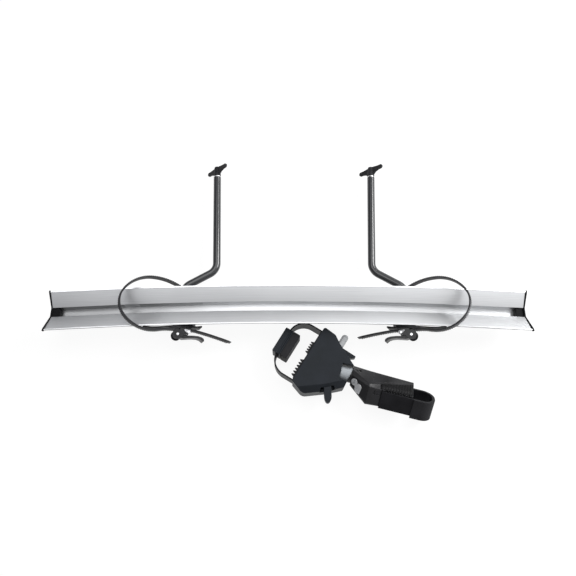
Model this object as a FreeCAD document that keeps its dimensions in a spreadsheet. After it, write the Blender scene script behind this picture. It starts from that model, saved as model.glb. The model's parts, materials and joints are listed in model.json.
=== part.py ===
import FreeCAD, Part
import math
import os
import Sketcher

# Wheel tray with two cranked mounting bars, two ratchet wheel straps and a loose frame clamp.
# Millimetres. X runs along the tray, Y points away from the near side, Z is up.
# The origin is on the surface that the bar feet stand on, under the middle of the tray.

Vector = FreeCAD.Vector
Rotation = FreeCAD.Rotation
Placement = FreeCAD.Placement

SIZES = {
    # Tray: a V with a box channel in the middle and a nut slot under it, bowed in plan
    "tray_length": 1066.0,
    "bow_radius": 9000.0,
    "lip_half": 44.8,
    "flange_rise": 17.3,
    "bead_width": 3.0,
    "bead_depth": 3.2,
    "bead_step": 1.4,
    "knee_half": 10.45,
    "channel_depth": 22.5,
    "tray_wall": 2.0,
    "nut_slot_depth": 9.5,
    "slot_mouth": 10.0,
    "end_near_lip": 8.9,
    "end_near_knee": -2.1,
    "end_far_knee": -4.5,
    "end_far_lip": -3.7,
    # End caps
    "cap_thickness": 3.0,
    "cap_margin": 1.3,
    "cap_plug": 20.0,
    "cap_gap": 0.3,
    # Carriages: everything on one mounting bar, clamped under the tray
    "bar_spacing": 516.0,
    "carriage_offset": 14.5,
    "bar_height": 32.5,
    "bar_cover": 1.2,
    "bar_diameter": 18.0,
    "bar_wall": 2.0,
    "bar_tail": 38.0,
    "bar_reach": 345.0,
    "crank_near": 60.5,
    "crank_far": 101.5,
    "crank_offset": 78.0,
    "bend_radius": 30.0,
    "fit_gap": 0.05,
    "moving_gap": 0.3,
    "plug_head": 2.0,
    "plug_depth": 12.0,
    "insert_length": 22.0,
    "stud_diameter": 7.9,
    "stud_length": 32.0,
    "stud_end_gap": 1.0,
    "washer_diameter": 16.4,
    "washer_thickness": 3.0,
    # Wing knob at the far end of each bar
    "hub_diameter": 17.0,
    "hub_length": 24.0,
    "wing_span": 61.0,
    "wing_thickness": 10.0,
    "wing_depth": 13.0,
    "wing_roll": 31.0,
    # Saddle under the tray and foot under the bar
    "saddle_length": 72.0,
    "saddle_width": 40.0,
    "bolt_spacing": 29.0,
    "bolt_diameter": 6.0,
    "bolt_hole": 6.6,
    "bolt_head": 10.4,
    "bolt_head_height": 5.5,
    "head_recess": 8.0,
    "foot_corner": 6.0,
    "nut_length": 44.0,
    "nut_thickness": 4.3,
    "nut_clearance": 0.8,
    "arm_inset": 22.0,
    "arm_root": 20.0,
    "arm_wall": 4.5,
    "near_arm_step": 31.0,
    "near_arm_shoulder": 17.3,
    "near_arm_top": 31.3,
    "far_arm_reach": 39.0,
    "far_arm_top": 7.3,
    "near_arm_width": 16.0,
    "far_arm_width": 20.0,
    # Wheel strap, in its own tilted plane
    "strap_tilt": 22.0,
    "strap_pivot_inset": 42.5,
    "strap_pivot_rise": 19.3,
    "strap_width": 15.0,
    "strap_thickness": 2.4,
    "tooth_height": 1.8,
    "tooth_pitch": 4.2,
    "loop_centre": 108.0,
    "loop_reach": 70.5,
    "loop_half_height": 60.4,
    "loop_side_radius": 50.0,
    "loop_mid": 3.0,
    "lead_radius": 121.0,
    "lead_angle": 29.8,
    "ease_end": 70.0,
    "strap_exit": 20.0,
    "tail_radius": 70.0,
    "tail_turn": 12.0,
    "droop_radius": 900.0,
    "droop_turn": 5.2,
    "root_pin_out": 22.0,
    "root_pin_diameter": 5.0,
    "rivet_head": 1.2,
    "root_eye": 6.0,
    "root_boss": 7.0,
    "root_boss_depth": 16.0,
    "strap_run": 53.0,
    # Buckle
    "base_width": 22.0,
    "base_face": 45.0,
    "base_thickness": 4.0,
    "base_start": 4.0,
    "base_end": 127.0,
    "base_dip": 8.2,
    "frame_width": 20.4,
    "frame_inside": 17.6,
    "frame_floor": 1.8,
    "pivot_out": 51.0,
    "pivot_down": 65.2,
    "pivot_diameter": 4.0,
    "lobe_radius": 8.8,
    "lever_width": 16.2,
    "pawl_out": 28.0,
    "pawl_down": 59.0,
    "pawl_pin": 3.0,
    "pawl_radius": 2.8,
    "pawl_width": 12.0,
    # Frame clamp: place of its neck, and its jaw
    "neck_east": 130.6,
    "neck_north": -148.3,
    "neck_height": 42.0,
    "arm_azimuth": -14.0,
    "arm_roll": 54.0,
    "jaw_azimuth": -121.5,
    "jaw_corner_east": -48.0,
    "jaw_corner_north": 103.0,
    "jaw_bottom": 0.5,
    "jaw_thickness": 62.0,
    "mouth_length": 142.0,
    "jaw_chamfer": 14.0,
    "jaw_flare": 11.0,
    "jaw_flare_deep": 33.0,
    "peg_corner": 121.0,
    "peg_corner_deep": 75.0,
    "neck_side": 93.0,
    "neck_side_width": 50.0,
    "jaw_deep": 105.0,
    "back_waist": 15.5,
    "back_waist_deep": 49.0,
    "back_heel": 3.0,
    "back_heel_deep": 30.0,
    "tension_along": 99.0,
    "tension_deep": 65.0,
    "tension_low": 38.0,
    "tension_height": 18.0,
    "tension_width": 16.0,
    "tension_reach": 37.0,
    "tension_heading": 34.0,
    "tension_swing": 20.0,
    "release_along": 26.0,
    "release_deep": 62.0,
    "release_low": 14.0,
    "release_height": 20.0,
    "release_heel": 7.0,
    "release_reach": 31.0,
    "button_along": 12.3,
    "button_deep": 50.9,
    "button_height": 50.0,
    "button_travel": 6.0,
    "pin_seat": 8.0,
    "screw_inset": 24.0,
    "screw_middle": 62.0,
    "screw_depth": 16.0,
    "screw_diameter": 4.0,
    "screw_head": 7.2,
    "screw_head_height": 2.6,
    "screw_recess": 4.0,
    "screw_top": 52.0,
    "grip_start": 14.0,
    "grip_end_inset": 7.0,
    "grip_first": 42.0,
    "grip_first_pitch": 6.0,
    "grip_second_inset": 54.0,
    "grip_second_pitch": 7.4,
    "neck_diameter": 32.0,
    "neck_bore": 24.0,
    "neck_inset": 37.0,
    "neck_outset": 30.0,
    "notch_inset": 14.0,
    "band_width": 42.0,
    "band_thickness": 3.2,
    "band_first": 8.0,
    "band_last_inset": 2.0,
    "band_depth": 63.0,
    "band_corner": 37.0,
    "band_tail": 12.0,
    "pad_first": 44.0,
    "pad_last_inset": 36.0,
    "pad_inner": 37.0,
    "pad_outer": 74.0,
    "pad_split": 54.0,
    "pad_height": 50.0,
    "grip_thickness": 2.0,
    "grip_tooth": 5.0,
    "grip_height": 50.0,
    "lever_pin": 5.0,
    "button_diameter": 15.0,
    "button_length": 44.0,
    "button_depth": 26.0,
    # Frame clamp: its arm housing and band loop
    "collar_diameter": 35.0,
    "collar_middle": 6.0,
    "collar_slant": 15.5,
    "housing_start": 12.0,
    "housing_shoulder": 52.0,
    "housing_end": 150.0,
    "housing_front": 43.0,
    "housing_back": 20.0,
    "housing_top": 16.0,
    "panel_thickness": 1.5,
    "housing_base": 44.0,
    "loop_front": 41.0,
    "loop_back": 14.0,
    "loop_end": 197.0,
    "loop_top": 2.0,
    "loop_base": 42.5,
    "loop_thickness": 3.6,
    "loop_corner": 24.0,
    "sleeve_start": 152.0,
    "sleeve_thickness": 2.6,
    "sleeve_base": 46.5,
    "strand_start": 82.0,
    "back_strand_start": 92.0,
    "rib_start": 90.0,
    "rib_pitch": 11.8,
    "rib_gap": 9.0,
    "rib_depth": 20.0,
    "panel_start": 8.0,
    "panel_length": 72.0,
    "panel_inset": 8.5,
    "panel_width": 41.0,
    "panel_tip": 7.0,
    "key_start": 65.0,
    "key_length": 14.0,
    "key_height": 10.0,
    "key_top": -3.0,
    "key_face": 40.0,
    "key_depth": 8.0,
    "key_travel": 4.0,
    "lock_diameter": 16.0,
    "lock_along": 20.0,
    "lock_height": -3.0,
    "lock_depth": 3.0,
    "lock_proud": 1.2,
    "plate_along": 32.5,
    "plate_height": -15.5,
    "plate_thickness": 1.4,
}

# Heights that follow from the sizes above
HEIGHTS = {
    "tray_bottom": "bar_height + bar_diameter / 2 + bar_cover",
    "knee_height": "tray_bottom + nut_slot_depth + tray_wall + channel_depth",
    "lip_height": "knee_height + flange_rise",
}

doc = FreeCAD.newDocument("WheelTrayAdapter")
sheet = doc.addObject("Spreadsheet::Sheet", "Sizes")
for row, (alias, number_of) in enumerate(SIZES.items(), 1):
    sheet.set("A%d" % row, alias)
    sheet.set("B%d" % row, str(number_of))
    sheet.setAlias("B%d" % row, alias)
for row, (alias, formula) in enumerate(HEIGHTS.items(), len(SIZES) + 1):
    sheet.set("A%d" % row, alias)
    sheet.set("B%d" % row, "=" + formula)
    sheet.setAlias("B%d" % row, alias)
    doc.recompute()
doc.recompute()

NODES = []
SIDES = ((-1, "left"), (1, "right"))


def value(expression):
    """Number that an expression over the sheet gives. Names in it are the sheet's aliases."""
    return float(sheet.evalExpression(expression))


def size(alias):
    return float(getattr(sheet, alias))


def keep(item, node, placement=None):
    """Register a finished sub-part under its node name, at its place."""
    item.Label = node
    if placement is not None:
        item.Placement = placement
    NODES.append(item)
    return item


# Sketches and features

def new_body(name):
    return doc.addObject("PartDesign::Body", name)


def new_sketch(body, role, lift=0.0):
    """Sketch on one of the body's own planes, moved by lift along the plane's normal."""
    flat = [item for item in body.Origin.OriginFeatures if item.Role == role][0]
    drawing = body.newObject("Sketcher::SketchObject", body.Name + "_sketch")
    drawing.AttachmentSupport = [(flat, "")]
    drawing.MapMode = "FlatFace"
    if lift:
        drawing.AttachmentOffset = Placement(Vector(0, 0, lift), Rotation())
    return drawing


def bind_point(drawing, geometry, end, x_text, y_text):
    """Hold one point of a sketch at a place given by two expressions."""
    for kind, axis, text in (("DistanceX", -2, x_text), ("DistanceY", -1, y_text)):
        place = value(text)
        if abs(place) < 1e-9:
            drawing.addConstraint(Sketcher.Constraint("PointOnObject", geometry, end, axis))
            continue
        index = drawing.addConstraint(Sketcher.Constraint(kind, -1, 1, geometry, end, place))
        drawing.setExpression("Constraints[%d]" % index, text)


def draw_polygon(drawing, corners):
    """Closed outline whose corners are pairs of expressions."""
    spots = [Vector(value(x_text), value(y_text), 0) for x_text, y_text in corners]
    first = drawing.GeometryCount
    count = len(corners)
    for index in range(count):
        drawing.addGeometry(Part.LineSegment(spots[index], spots[(index + 1) % count]), False)
    for index in range(count):
        following = first + (index + 1) % count
        drawing.addConstraint(Sketcher.Constraint("Coincident", first + index, 2, following, 1))
    for index, (x_text, y_text) in enumerate(corners):
        bind_point(drawing, first + index, 1, x_text, y_text)


def draw_circle(drawing, x_text, y_text, radius_text):
    centre = Vector(value(x_text), value(y_text), 0)
    circle = drawing.addGeometry(Part.Circle(centre, Vector(0, 0, 1), value(radius_text)), False)
    bind_point(drawing, circle, 3, x_text, y_text)
    index = drawing.addConstraint(Sketcher.Constraint("Radius", circle, value(radius_text)))
    drawing.setExpression("Constraints[%d]" % index, radius_text)


def rounded_edges(corners):
    """Edges of a path through (x, y, corner radius) points: lines joined by tangent arcs."""
    spots = [Vector(x, y, 0) for x, y, radius in corners]
    edges = []
    start = spots[0]
    for index in range(1, len(spots) - 1):
        before = (spots[index] - spots[index - 1]).normalize()
        after = (spots[index + 1] - spots[index]).normalize()
        turn = math.acos(max(-1.0, min(1.0, before.dot(after))))
        radius = corners[index][2]
        if radius <= 0 or turn < 1e-6:
            edges.append(Part.LineSegment(start, spots[index]))
            start = spots[index]
            continue
        reach = radius * math.tan(turn / 2)
        enter = spots[index] - before * reach
        leave = spots[index] + after * reach
        inward = (after - before).normalize()
        middle = spots[index] + inward * (radius / math.cos(turn / 2) - radius)
        if (enter - start).Length > 1e-6:
            edges.append(Part.LineSegment(start, enter))
        edges.append(Part.Arc(enter, middle, leave))
        start = leave
    edges.append(Part.LineSegment(start, spots[-1]))
    return edges


def draw_rounded(drawing, corners):
    """Closed outline through (x, y, corner radius) numbers. The first corner stays sharp."""
    for edge in rounded_edges(list(corners) + [corners[0]]):
        drawing.addGeometry(edge, False)


def pad(body, drawing, length_text, both_ways=False, backwards=False):
    feature = body.newObject("PartDesign::Pad", body.Name + "_pad")
    feature.Profile = drawing
    feature.setExpression("Length", length_text)
    if both_ways:
        feature.SideType = "Symmetric"
    feature.Reversed = backwards
    return feature


def pocket(body, drawing, length_text, both_ways=True, backwards=False):
    feature = body.newObject("PartDesign::Pocket", body.Name + "_pocket")
    feature.Profile = drawing
    feature.setExpression("Length", length_text)
    if both_ways:
        feature.SideType = "Symmetric"
    feature.Reversed = backwards
    return feature


def prism(name, role, corners, length_text, both_ways=True, lift=0.0):
    """Body with one straight pad of a polygon of expressions."""
    body = new_body(name)
    drawing = new_sketch(body, role, lift)
    draw_polygon(drawing, corners)
    pad(body, drawing, length_text, both_ways)
    return body


def rounded_prism(name, role, corners, length_text, both_ways=True, lift=0.0):
    """Body with one straight pad of a rounded outline of numbers."""
    body = new_body(name)
    drawing = new_sketch(body, role, lift)
    draw_rounded(drawing, corners)
    pad(body, drawing, length_text, both_ways)
    return body


# Primitives and booleans

def turned_to(axis):
    return Rotation(Vector(0, 0, 1), axis)


def cylinder(name, radius_text, height_text, start, axis=Vector(0, 0, 1)):
    """Cylinder from a start point along an axis."""
    item = doc.addObject("Part::Cylinder", name)
    item.setExpression("Radius", radius_text)
    item.setExpression("Height", height_text)
    item.Placement = Placement(start, turned_to(axis))
    return item


def block(name, low, dims, frame=None):
    """Box from its low corner and three expressions for its sides."""
    item = doc.addObject("Part::Box", name)
    for side, text in zip(("Length", "Width", "Height"), dims):
        item.setExpression(side, text)
    corner = Placement(low, Rotation())
    item.Placement = frame.multiply(corner) if frame else corner
    return item


def fuse(name, items):
    item = doc.addObject("Part::MultiFuse", name)
    item.Shapes = items
    item.Refine = True
    return item


def cut(name, base, tools):
    item = doc.addObject("Part::Cut", name)
    item.Base = base
    item.Tool = tools[0] if len(tools) == 1 else fuse(name + "_tools", tools)
    item.Refine = True
    return item


def common(name, base, tool):
    item = doc.addObject("Part::Common", name)
    item.Base = base
    item.Tool = tool
    return item


def group(name, items):
    item = doc.addObject("Part::Compound", name)
    item.Links = items
    return item


# Frames

def station_frame(along):
    """Frame on the bowed centre line, this far along the tray. X is the local tangent."""
    radius = size("bow_radius")
    turn = along / radius
    spot = Vector(radius * math.sin(turn), radius * math.cos(turn) - radius, 0)
    return Placement(spot, Rotation(Vector(0, 0, 1), -math.degrees(turn)))


def strap_frame(side):
    """Plane of a wheel strap in its carriage: X runs outwards and up, Y across the tray."""
    tilt = size("strap_tilt")
    height = size("tray_bottom") + size("strap_pivot_rise")
    spot = Vector(-side * size("strap_pivot_inset"), 0, height)
    turn = -tilt if side > 0 else tilt - 180.0
    return Placement(spot, Rotation(Vector(0, 1, 0), turn))


# Tray rail and end caps

def tray_rail():
    """V flanges, box channel and nut slot, revolved about the far centre of the bow."""
    body = new_body("rail_body")
    drawing = new_sketch(body, "XZ_Plane")
    wall = "Sizes.tray_wall"
    floor = "(Sizes.knee_height - Sizes.channel_depth)"
    under = "Sizes.tray_bottom"
    slope = "((Sizes.lip_height - Sizes.bead_step - Sizes.knee_height)"
    slope += " / (Sizes.lip_half - Sizes.bead_width - Sizes.knee_half))"
    drop = "(%s * sqrt(1 + %s ^ 2))" % (wall, slope)
    outer_knee = "(Sizes.knee_half + %s)" % wall
    far_side = [
        ("Sizes.slot_mouth / 2", under),
        (outer_knee, under),
        (outer_knee, "Sizes.knee_height - %s + %s * %s" % (drop, wall, slope)),
        ("Sizes.lip_half - Sizes.bead_width", "Sizes.lip_height - Sizes.bead_step - %s" % drop),
        ("Sizes.lip_half", "Sizes.lip_height - Sizes.bead_depth"),
        ("Sizes.lip_half", "Sizes.lip_height"),
        ("Sizes.lip_half - Sizes.bead_width", "Sizes.lip_height"),
        ("Sizes.lip_half - Sizes.bead_width", "Sizes.lip_height - Sizes.bead_step"),
        ("Sizes.knee_half", "Sizes.knee_height"),
        ("Sizes.knee_half", floor),
    ]
    slot_side = [
        ("-Sizes.slot_mouth / 2", under),
        ("-Sizes.slot_mouth / 2", "%s + %s" % (under, wall)),
        ("-Sizes.knee_half", "%s + %s" % (under, wall)),
        ("-Sizes.knee_half", "%s - %s" % (floor, wall)),
        ("Sizes.knee_half", "%s - %s" % (floor, wall)),
        ("Sizes.knee_half", "%s + %s" % (under, wall)),
        ("Sizes.slot_mouth / 2", "%s + %s" % (under, wall)),
    ]
    near_side = [("-(%s)" % across, height) for across, height in reversed(far_side)]
    corners = far_side + near_side + slot_side[1:]
    draw_polygon(drawing, [("Sizes.bow_radius + %s" % x, z) for x, z in corners])
    turned = body.newObject("PartDesign::Revolution", "rail_bow")
    turned.Profile = drawing
    turned.ReferenceAxis = (drawing, ["V_Axis"])
    turned.Midplane = True
    sweep = "(Sizes.tray_length + 6 * Sizes.end_near_lip) / Sizes.bow_radius"
    turned.setExpression("Angle", sweep + " * 180 / pi")
    body.Placement = Placement(Vector(0, -size("bow_radius"), 0), Rotation(Vector(0, 0, 1), 90))
    left_end, right_end = [end_block("rail_end_" + hand, side, "0", "6 * Sizes.end_near_lip") for side, hand in SIDES]
    trimmed = cut("tray_rail_trim", body, [left_end])
    keep(cut("tray_rail_cut", trimmed, [right_end]), "tray_rail")


def end_block(name, side, inner, outer):
    """Upright block across a tray end. Its inner side follows the end's kinked outline in plan.

    Both texts are distances outwards from that outline: the outer side follows it too for a
    thin slab, and is straight for a block that only cuts.
    """
    body = new_body(name)
    drawing = new_sketch(body, "XY_Plane")
    reach = "(Sizes.lip_half + 10 * Sizes.tray_wall)"
    beyond = "(Sizes.lip_half + 2 * Sizes.cap_margin)"
    knee = "(Sizes.knee_half + Sizes.tray_wall / 2)"
    outline = [
        ("Sizes.end_near_lip", "-" + reach),
        ("Sizes.end_near_lip", "-" + beyond),
        ("Sizes.end_near_knee", "-" + knee),
        ("Sizes.end_far_knee", knee),
        ("Sizes.end_far_lip", beyond),
        ("Sizes.end_far_lip", reach),
    ]
    near = [("%d * (%s + %s)" % (side, out, inner), across) for out, across in outline]
    far = [("%d * (%s + %s)" % (side, out, outer), across) for out, across in reversed(outline)]
    draw_polygon(drawing, near + far)
    pad(body, drawing, "Sizes.lip_height + Sizes.lip_half")
    body.Placement = station_frame(side * size("tray_length") / 2)
    return body


def end_cap(side, node):
    """Black cap: a kinked plate with the tray's V outline, and plugs in channel and slot."""
    margin = "Sizes.cap_margin"
    under = "Sizes.tray_bottom"
    outer = "(Sizes.knee_half + Sizes.tray_wall + %s)" % margin
    far_side = [
        (outer, "%s - %s" % (under, margin)),
        (outer, "Sizes.knee_height - 2 * Sizes.tray_wall"),
        ("Sizes.lip_half + %s" % margin, "Sizes.lip_height - Sizes.bead_depth - 2 * %s" % margin),
        ("Sizes.lip_half + %s" % margin, "Sizes.lip_height + %s" % margin),
        ("Sizes.lip_half - Sizes.bead_width - %s" % margin, "Sizes.lip_height + %s" % margin),
        ("Sizes.knee_half - %s" % margin, "Sizes.knee_height + %s / 2" % margin),
    ]
    near_side = [("-(%s)" % across, height) for across, height in reversed(far_side)]
    plate = prism("cap_plate_%s" % node, "YZ_Plane", far_side + near_side, "8 * Sizes.end_near_lip")
    end = station_frame(side * size("tray_length") / 2)
    plate.Placement = end
    seam = "Sizes.cap_gap / 3"
    outside = "(%s + Sizes.cap_thickness)" % seam
    face = common("cap_face_%s" % node, plate, end_block("cap_slab_%s" % node, side, seam, outside))
    floor = value("Sizes.knee_height - Sizes.channel_depth + Sizes.cap_gap")
    half = value("Sizes.knee_half - Sizes.cap_gap")
    start = -size("cap_plug") if side > 0 else 0.0
    across = "2 * (Sizes.knee_half - Sizes.cap_gap)"
    channel_plug = block(
        "cap_plug_%s" % node,
        Vector(start, -half, floor),
        ("Sizes.cap_plug", across, "Sizes.channel_depth - 2 * Sizes.tray_wall"),
        end,
    )
    slot_plug = block(
        "cap_tongue_%s" % node,
        Vector(start, -half, size("tray_bottom") + size("tray_wall") + size("cap_gap")),
        ("Sizes.cap_plug", across, "Sizes.nut_slot_depth - Sizes.tray_wall - 2 * Sizes.cap_gap"),
        end,
    )
    whole = fuse("cap_whole_%s" % node, [face, channel_plug, slot_plug])
    trim = end_block("cap_trim_%s" % node, side, outside, "6 * Sizes.end_near_lip")
    keep(cut("cap_%s" % node, whole, [trim]), node)


# Mounting bars

def bar_path(side):
    """Corners of the cranked bar from its near end, in the bar's own frame."""
    tail = size("bar_tail")
    inward = -side * size("crank_offset")
    bend = size("bend_radius")
    return [
        (0.0, 0.0, 0.0),
        (0.0, size("crank_near") + tail, bend),
        (inward, size("crank_far") + tail, bend),
        (inward, size("bar_reach") + tail, 0.0),
    ]


def bar_tube(side, frame, node):
    body = new_body("bar_%s" % node)
    route = new_sketch(body, "XY_Plane")
    edges = rounded_edges(bar_path(side))
    for edge in edges:
        route.addGeometry(edge, False)
    ring = new_sketch(body, "XZ_Plane")
    draw_circle(ring, "0", "0", "Sizes.bar_diameter / 2")
    draw_circle(ring, "0", "0", "Sizes.bar_diameter / 2 - Sizes.bar_wall")
    pipe = body.newObject("PartDesign::AdditivePipe", "pipe_%s" % node)
    pipe.Profile = ring
    pipe.Spine = (route, ["Edge%d" % (index + 1) for index in range(len(edges))])
    start = Placement(Vector(0, -size("bar_tail"), size("bar_height")), Rotation())
    keep(body, node, frame.multiply(start))


def bar_plug(frame, node):
    """Plastic plug in the near end of the tube."""
    bore = "(Sizes.bar_diameter / 2 - Sizes.bar_wall - Sizes.fit_gap)"
    near = Vector(0, -size("bar_tail"), size("bar_height"))
    head = cylinder("plug_head_%s" % node, "Sizes.bar_diameter / 2", "Sizes.plug_head", near, Vector(0, -1, 0))
    stem = cylinder("plug_stem_%s" % node, bore, "Sizes.plug_depth", near, Vector(0, 1, 0))
    keep(fuse("plug_%s" % node, [head, stem]), node, frame)


def far_end(side, beyond):
    """Point on the straight leg's axis, this far past the end of the tube."""
    return Vector(-side * size("crank_offset"), size("bar_reach") + beyond, size("bar_height"))


def bar_insert(side, frame, node):
    bore = "(Sizes.bar_diameter / 2 - Sizes.bar_wall - Sizes.fit_gap)"
    start = far_end(side, -size("insert_length"))
    forward = Vector(0, 1, 0)
    sleeve = cylinder("insert_outer_%s" % node, bore, "Sizes.insert_length", start, forward)
    thread = cylinder(
        "insert_bore_%s" % node, "Sizes.stud_diameter / 2 + Sizes.fit_gap", "Sizes.insert_length", start, forward
    )
    keep(cut("insert_%s" % node, sleeve, [thread]), node, frame)


def clamp_washer(side, frame, node):
    """Bright ring between the end of the tube and the knob."""
    start = far_end(side, 0.0)
    forward = Vector(0, 1, 0)
    ring = cylinder("washer_outer_%s" % node, "Sizes.washer_diameter / 2", "Sizes.washer_thickness", start, forward)
    bore = cylinder(
        "washer_bore_%s" % node, "Sizes.stud_diameter / 2 + Sizes.fit_gap", "Sizes.washer_thickness", start, forward
    )
    keep(cut("washer_%s" % node, ring, [bore]), node, frame)


def knob_frame(side, frame):
    """Frame at the knob's seat: Z runs outwards along the bar, turned by the wings' roll."""
    seat = far_end(side, size("washer_thickness") + size("moving_gap"))
    level = Rotation(Vector(1, 0, 0), -90)
    roll = Rotation(Vector(0, 0, 1), -size("wing_roll"))
    return frame.multiply(Placement(seat, level.multiply(roll)))


def wing_knob(side, frame, node):
    """Hub with two swept wings, and a blind bore for the stud."""
    hub = cylinder("hub_%s" % node, "Sizes.hub_diameter / 2", "Sizes.hub_length", Vector(0, 0, 0))
    half = size("wing_span") / 2
    thick = size("wing_thickness") / 2
    tip = 0.75 * thick
    wings = rounded_prism(
        "wings_%s" % node,
        "XY_Plane",
        [
            (0.0, thick, 0.0),
            (half, tip, tip * 0.9),
            (half, -tip, tip * 0.9),
            (0.0, -thick, 0.0),
            (-half, -tip, tip * 0.9),
            (-half, tip, tip * 0.9),
        ],
        "Sizes.wing_depth",
        both_ways=False,
        lift=size("hub_length") - size("wing_depth"),
    )
    bore = cylinder(
        "knob_bore_%s" % node,
        "Sizes.stud_diameter / 2 + Sizes.fit_gap / 2",
        "Sizes.hub_length / 2",
        Vector(0, 0, 0),
    )
    body = fuse("knob_body_%s" % node, [hub, wings])
    keep(cut("knob_%s" % node, body, [bore]), node, knob_frame(side, frame))


def knob_stud(side, frame, node):
    depth = size("stud_length") - size("hub_length") / 2 + size("stud_end_gap")
    stud = cylinder("stud_%s" % node, "Sizes.stud_diameter / 2", "Sizes.stud_length", Vector(0, 0, -depth))
    stud.Placement = knob_frame(side, frame).multiply(stud.Placement)
    keep(stud, node)


# Saddle, foot, bolts and slot nut

def bolt_places():
    half = size("bolt_spacing") / 2
    return [Vector(-half, 0, 0), Vector(half, 0, 0)]


def bar_groove(name, node):
    start = Vector(0, -size("saddle_length"), size("bar_height"))
    radius = "Sizes.bar_diameter / 2 + Sizes.fit_gap"
    return cylinder("%s_%s" % (name, node), radius, "2 * Sizes.saddle_length", start, Vector(0, 1, 0))


def tray_saddle(side, frame, node):
    """Upper half of the clamp, with the arms that carry the strap root and the buckle."""
    gap = size("moving_gap")
    low = size("bar_height") + gap / 2
    top = size("tray_bottom") - gap
    height_text = "Sizes.tray_bottom - Sizes.bar_height - 1.5 * Sizes.moving_gap"
    half_width = size("saddle_width") / 2
    half_length = size("saddle_length") / 2
    body = block(
        "saddle_block_%s" % node,
        Vector(-half_width, -half_length, low),
        ("Sizes.saddle_width", "Sizes.saddle_length", height_text),
    )
    face = -size("base_face")
    shoulder = size("tray_bottom") + size("near_arm_shoulder")
    near_top = size("tray_bottom") + size("near_arm_top")
    near_arm = rounded_prism(
        "near_arm_%s" % node,
        "YZ_Plane",
        [
            (-size("arm_root"), low, 0.0),
            (-size("arm_root"), top, 0.0),
            (-size("near_arm_step"), top, 6.0),
            (face + size("arm_wall"), shoulder, 12.0),
            (face + size("arm_wall"), near_top, 2.0),
            (face, near_top, 0.0),
            (face, shoulder - size("arm_wall"), 12.0),
            (-half_length, low, 0.0),
        ],
        "Sizes.near_arm_width",
    )
    near_arm.Placement = Placement(Vector(-side * size("arm_inset"), 0, 0), Rotation())
    reach = size("strap_pivot_inset") - size("root_pin_out") * math.cos(math.radians(size("strap_tilt")))
    far_top = size("tray_bottom") + size("far_arm_top")
    far_arm = rounded_prism(
        "far_arm_%s" % node,
        "YZ_Plane",
        [
            (size("arm_root"), low, 0.0),
            (size("arm_root"), top, 2.0),
            (size("arm_root") + 6.0, far_top, 2.0),
            (size("far_arm_reach"), far_top, 2.0),
            (size("far_arm_reach"), far_top - 6.0, 6.0),
            (half_length, low, 0.0),
        ],
        "Sizes.far_arm_width",
    )
    far_arm.Placement = Placement(Vector(-side * (reach - 8.0), 0, 0), Rotation())
    plane = strap_frame(side)
    under = Vector(0, 0, -1 if side > 0 else 1)
    seat = plane.multVec(root_point() + under * (size("strap_width") / 2 + gap))
    boss_axis = plane.Rotation.multVec(under)
    boss = cylinder("boss_%s" % node, "Sizes.root_boss", "Sizes.root_boss_depth", seat, boss_axis)
    pin_hole = cylinder(
        "boss_hole_%s" % node,
        "Sizes.root_pin_diameter / 2 + Sizes.fit_gap / 2",
        "Sizes.root_boss_depth - Sizes.tray_wall",
        seat,
        boss_axis,
    )
    holes = [
        cylinder("saddle_hole_%s" % node, "Sizes.bolt_hole / 2", "Sizes.knee_height", spot) for spot in bolt_places()
    ]
    tools = [bar_groove("saddle_groove", node), pin_hole] + holes
    whole = fuse("saddle_body_%s" % node, [body, near_arm, far_arm, boss])
    keep(cut("saddle_%s" % node, whole, tools), node, frame)


def foot_saddle(frame, node):
    """Lower half of the clamp. Its underside is the face that the carrier's beam takes."""
    half_width = size("saddle_width") / 2
    half_length = size("saddle_length") / 2
    round_off = size("foot_corner")
    body = rounded_prism(
        "foot_block_%s" % node,
        "XY_Plane",
        [
            (0.0, -half_length, 0.0),
            (half_width, -half_length, round_off),
            (half_width, half_length, round_off),
            (-half_width, half_length, round_off),
            (-half_width, -half_length, round_off),
        ],
        "Sizes.bar_height - Sizes.moving_gap / 2",
        both_ways=False,
    )
    holes = []
    for spot in bolt_places():
        holes.append(cylinder("foot_hole_%s" % node, "Sizes.bolt_hole / 2", "Sizes.knee_height", spot))
        holes.append(cylinder("foot_recess_%s" % node, "Sizes.bolt_head / 2 + 2 * Sizes.moving_gap", "Sizes.head_recess", spot))
    keep(cut("foot_%s" % node, body, [bar_groove("foot_groove", node)] + holes), node, frame)


def saddle_bolts(frame, node):
    bolts = []
    for index, spot in enumerate(bolt_places()):
        head = doc.addObject("Part::Prism", "bolt_head_%s_%d" % (node, index))
        head.Polygon = 6
        head.setExpression("Circumradius", "Sizes.bolt_head / 2")
        head.setExpression("Height", "Sizes.bolt_head_height")
        seat = size("head_recess")
        head.Placement = Placement(spot + Vector(0, 0, seat - size("bolt_head_height")), Rotation())
        shank = cylinder(
            "bolt_shank_%s_%d" % (node, index),
            "Sizes.bolt_diameter / 2",
            "Sizes.knee_height - Sizes.channel_depth - Sizes.tray_wall - 2 * Sizes.tray_wall - Sizes.head_recess",
            spot + Vector(0, 0, seat),
        )
        bolts.append(fuse("bolt_%s_%d" % (node, index), [head, shank]))
    keep(group("bolts_%s" % node, bolts), node, frame)


def slot_nut(frame, node):
    """Plate in the slot under the tray that both bolts screw into."""
    across = value("Sizes.knee_half - Sizes.nut_clearance / 2")
    low = size("tray_bottom") + size("tray_wall") + size("moving_gap")
    plate = block(
        "nut_plate_%s" % node,
        Vector(-size("nut_length") / 2, -across, low),
        ("Sizes.nut_length", "2 * Sizes.knee_half - Sizes.nut_clearance", "Sizes.nut_thickness"),
    )
    threads = [
        cylinder("nut_hole_%s" % node, "Sizes.bolt_diameter / 2 + Sizes.fit_gap", "Sizes.knee_height", spot)
        for spot in bolt_places()
    ]
    keep(cut("nut_%s" % node, plate, threads), node, frame)


# Wheel strap

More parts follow.
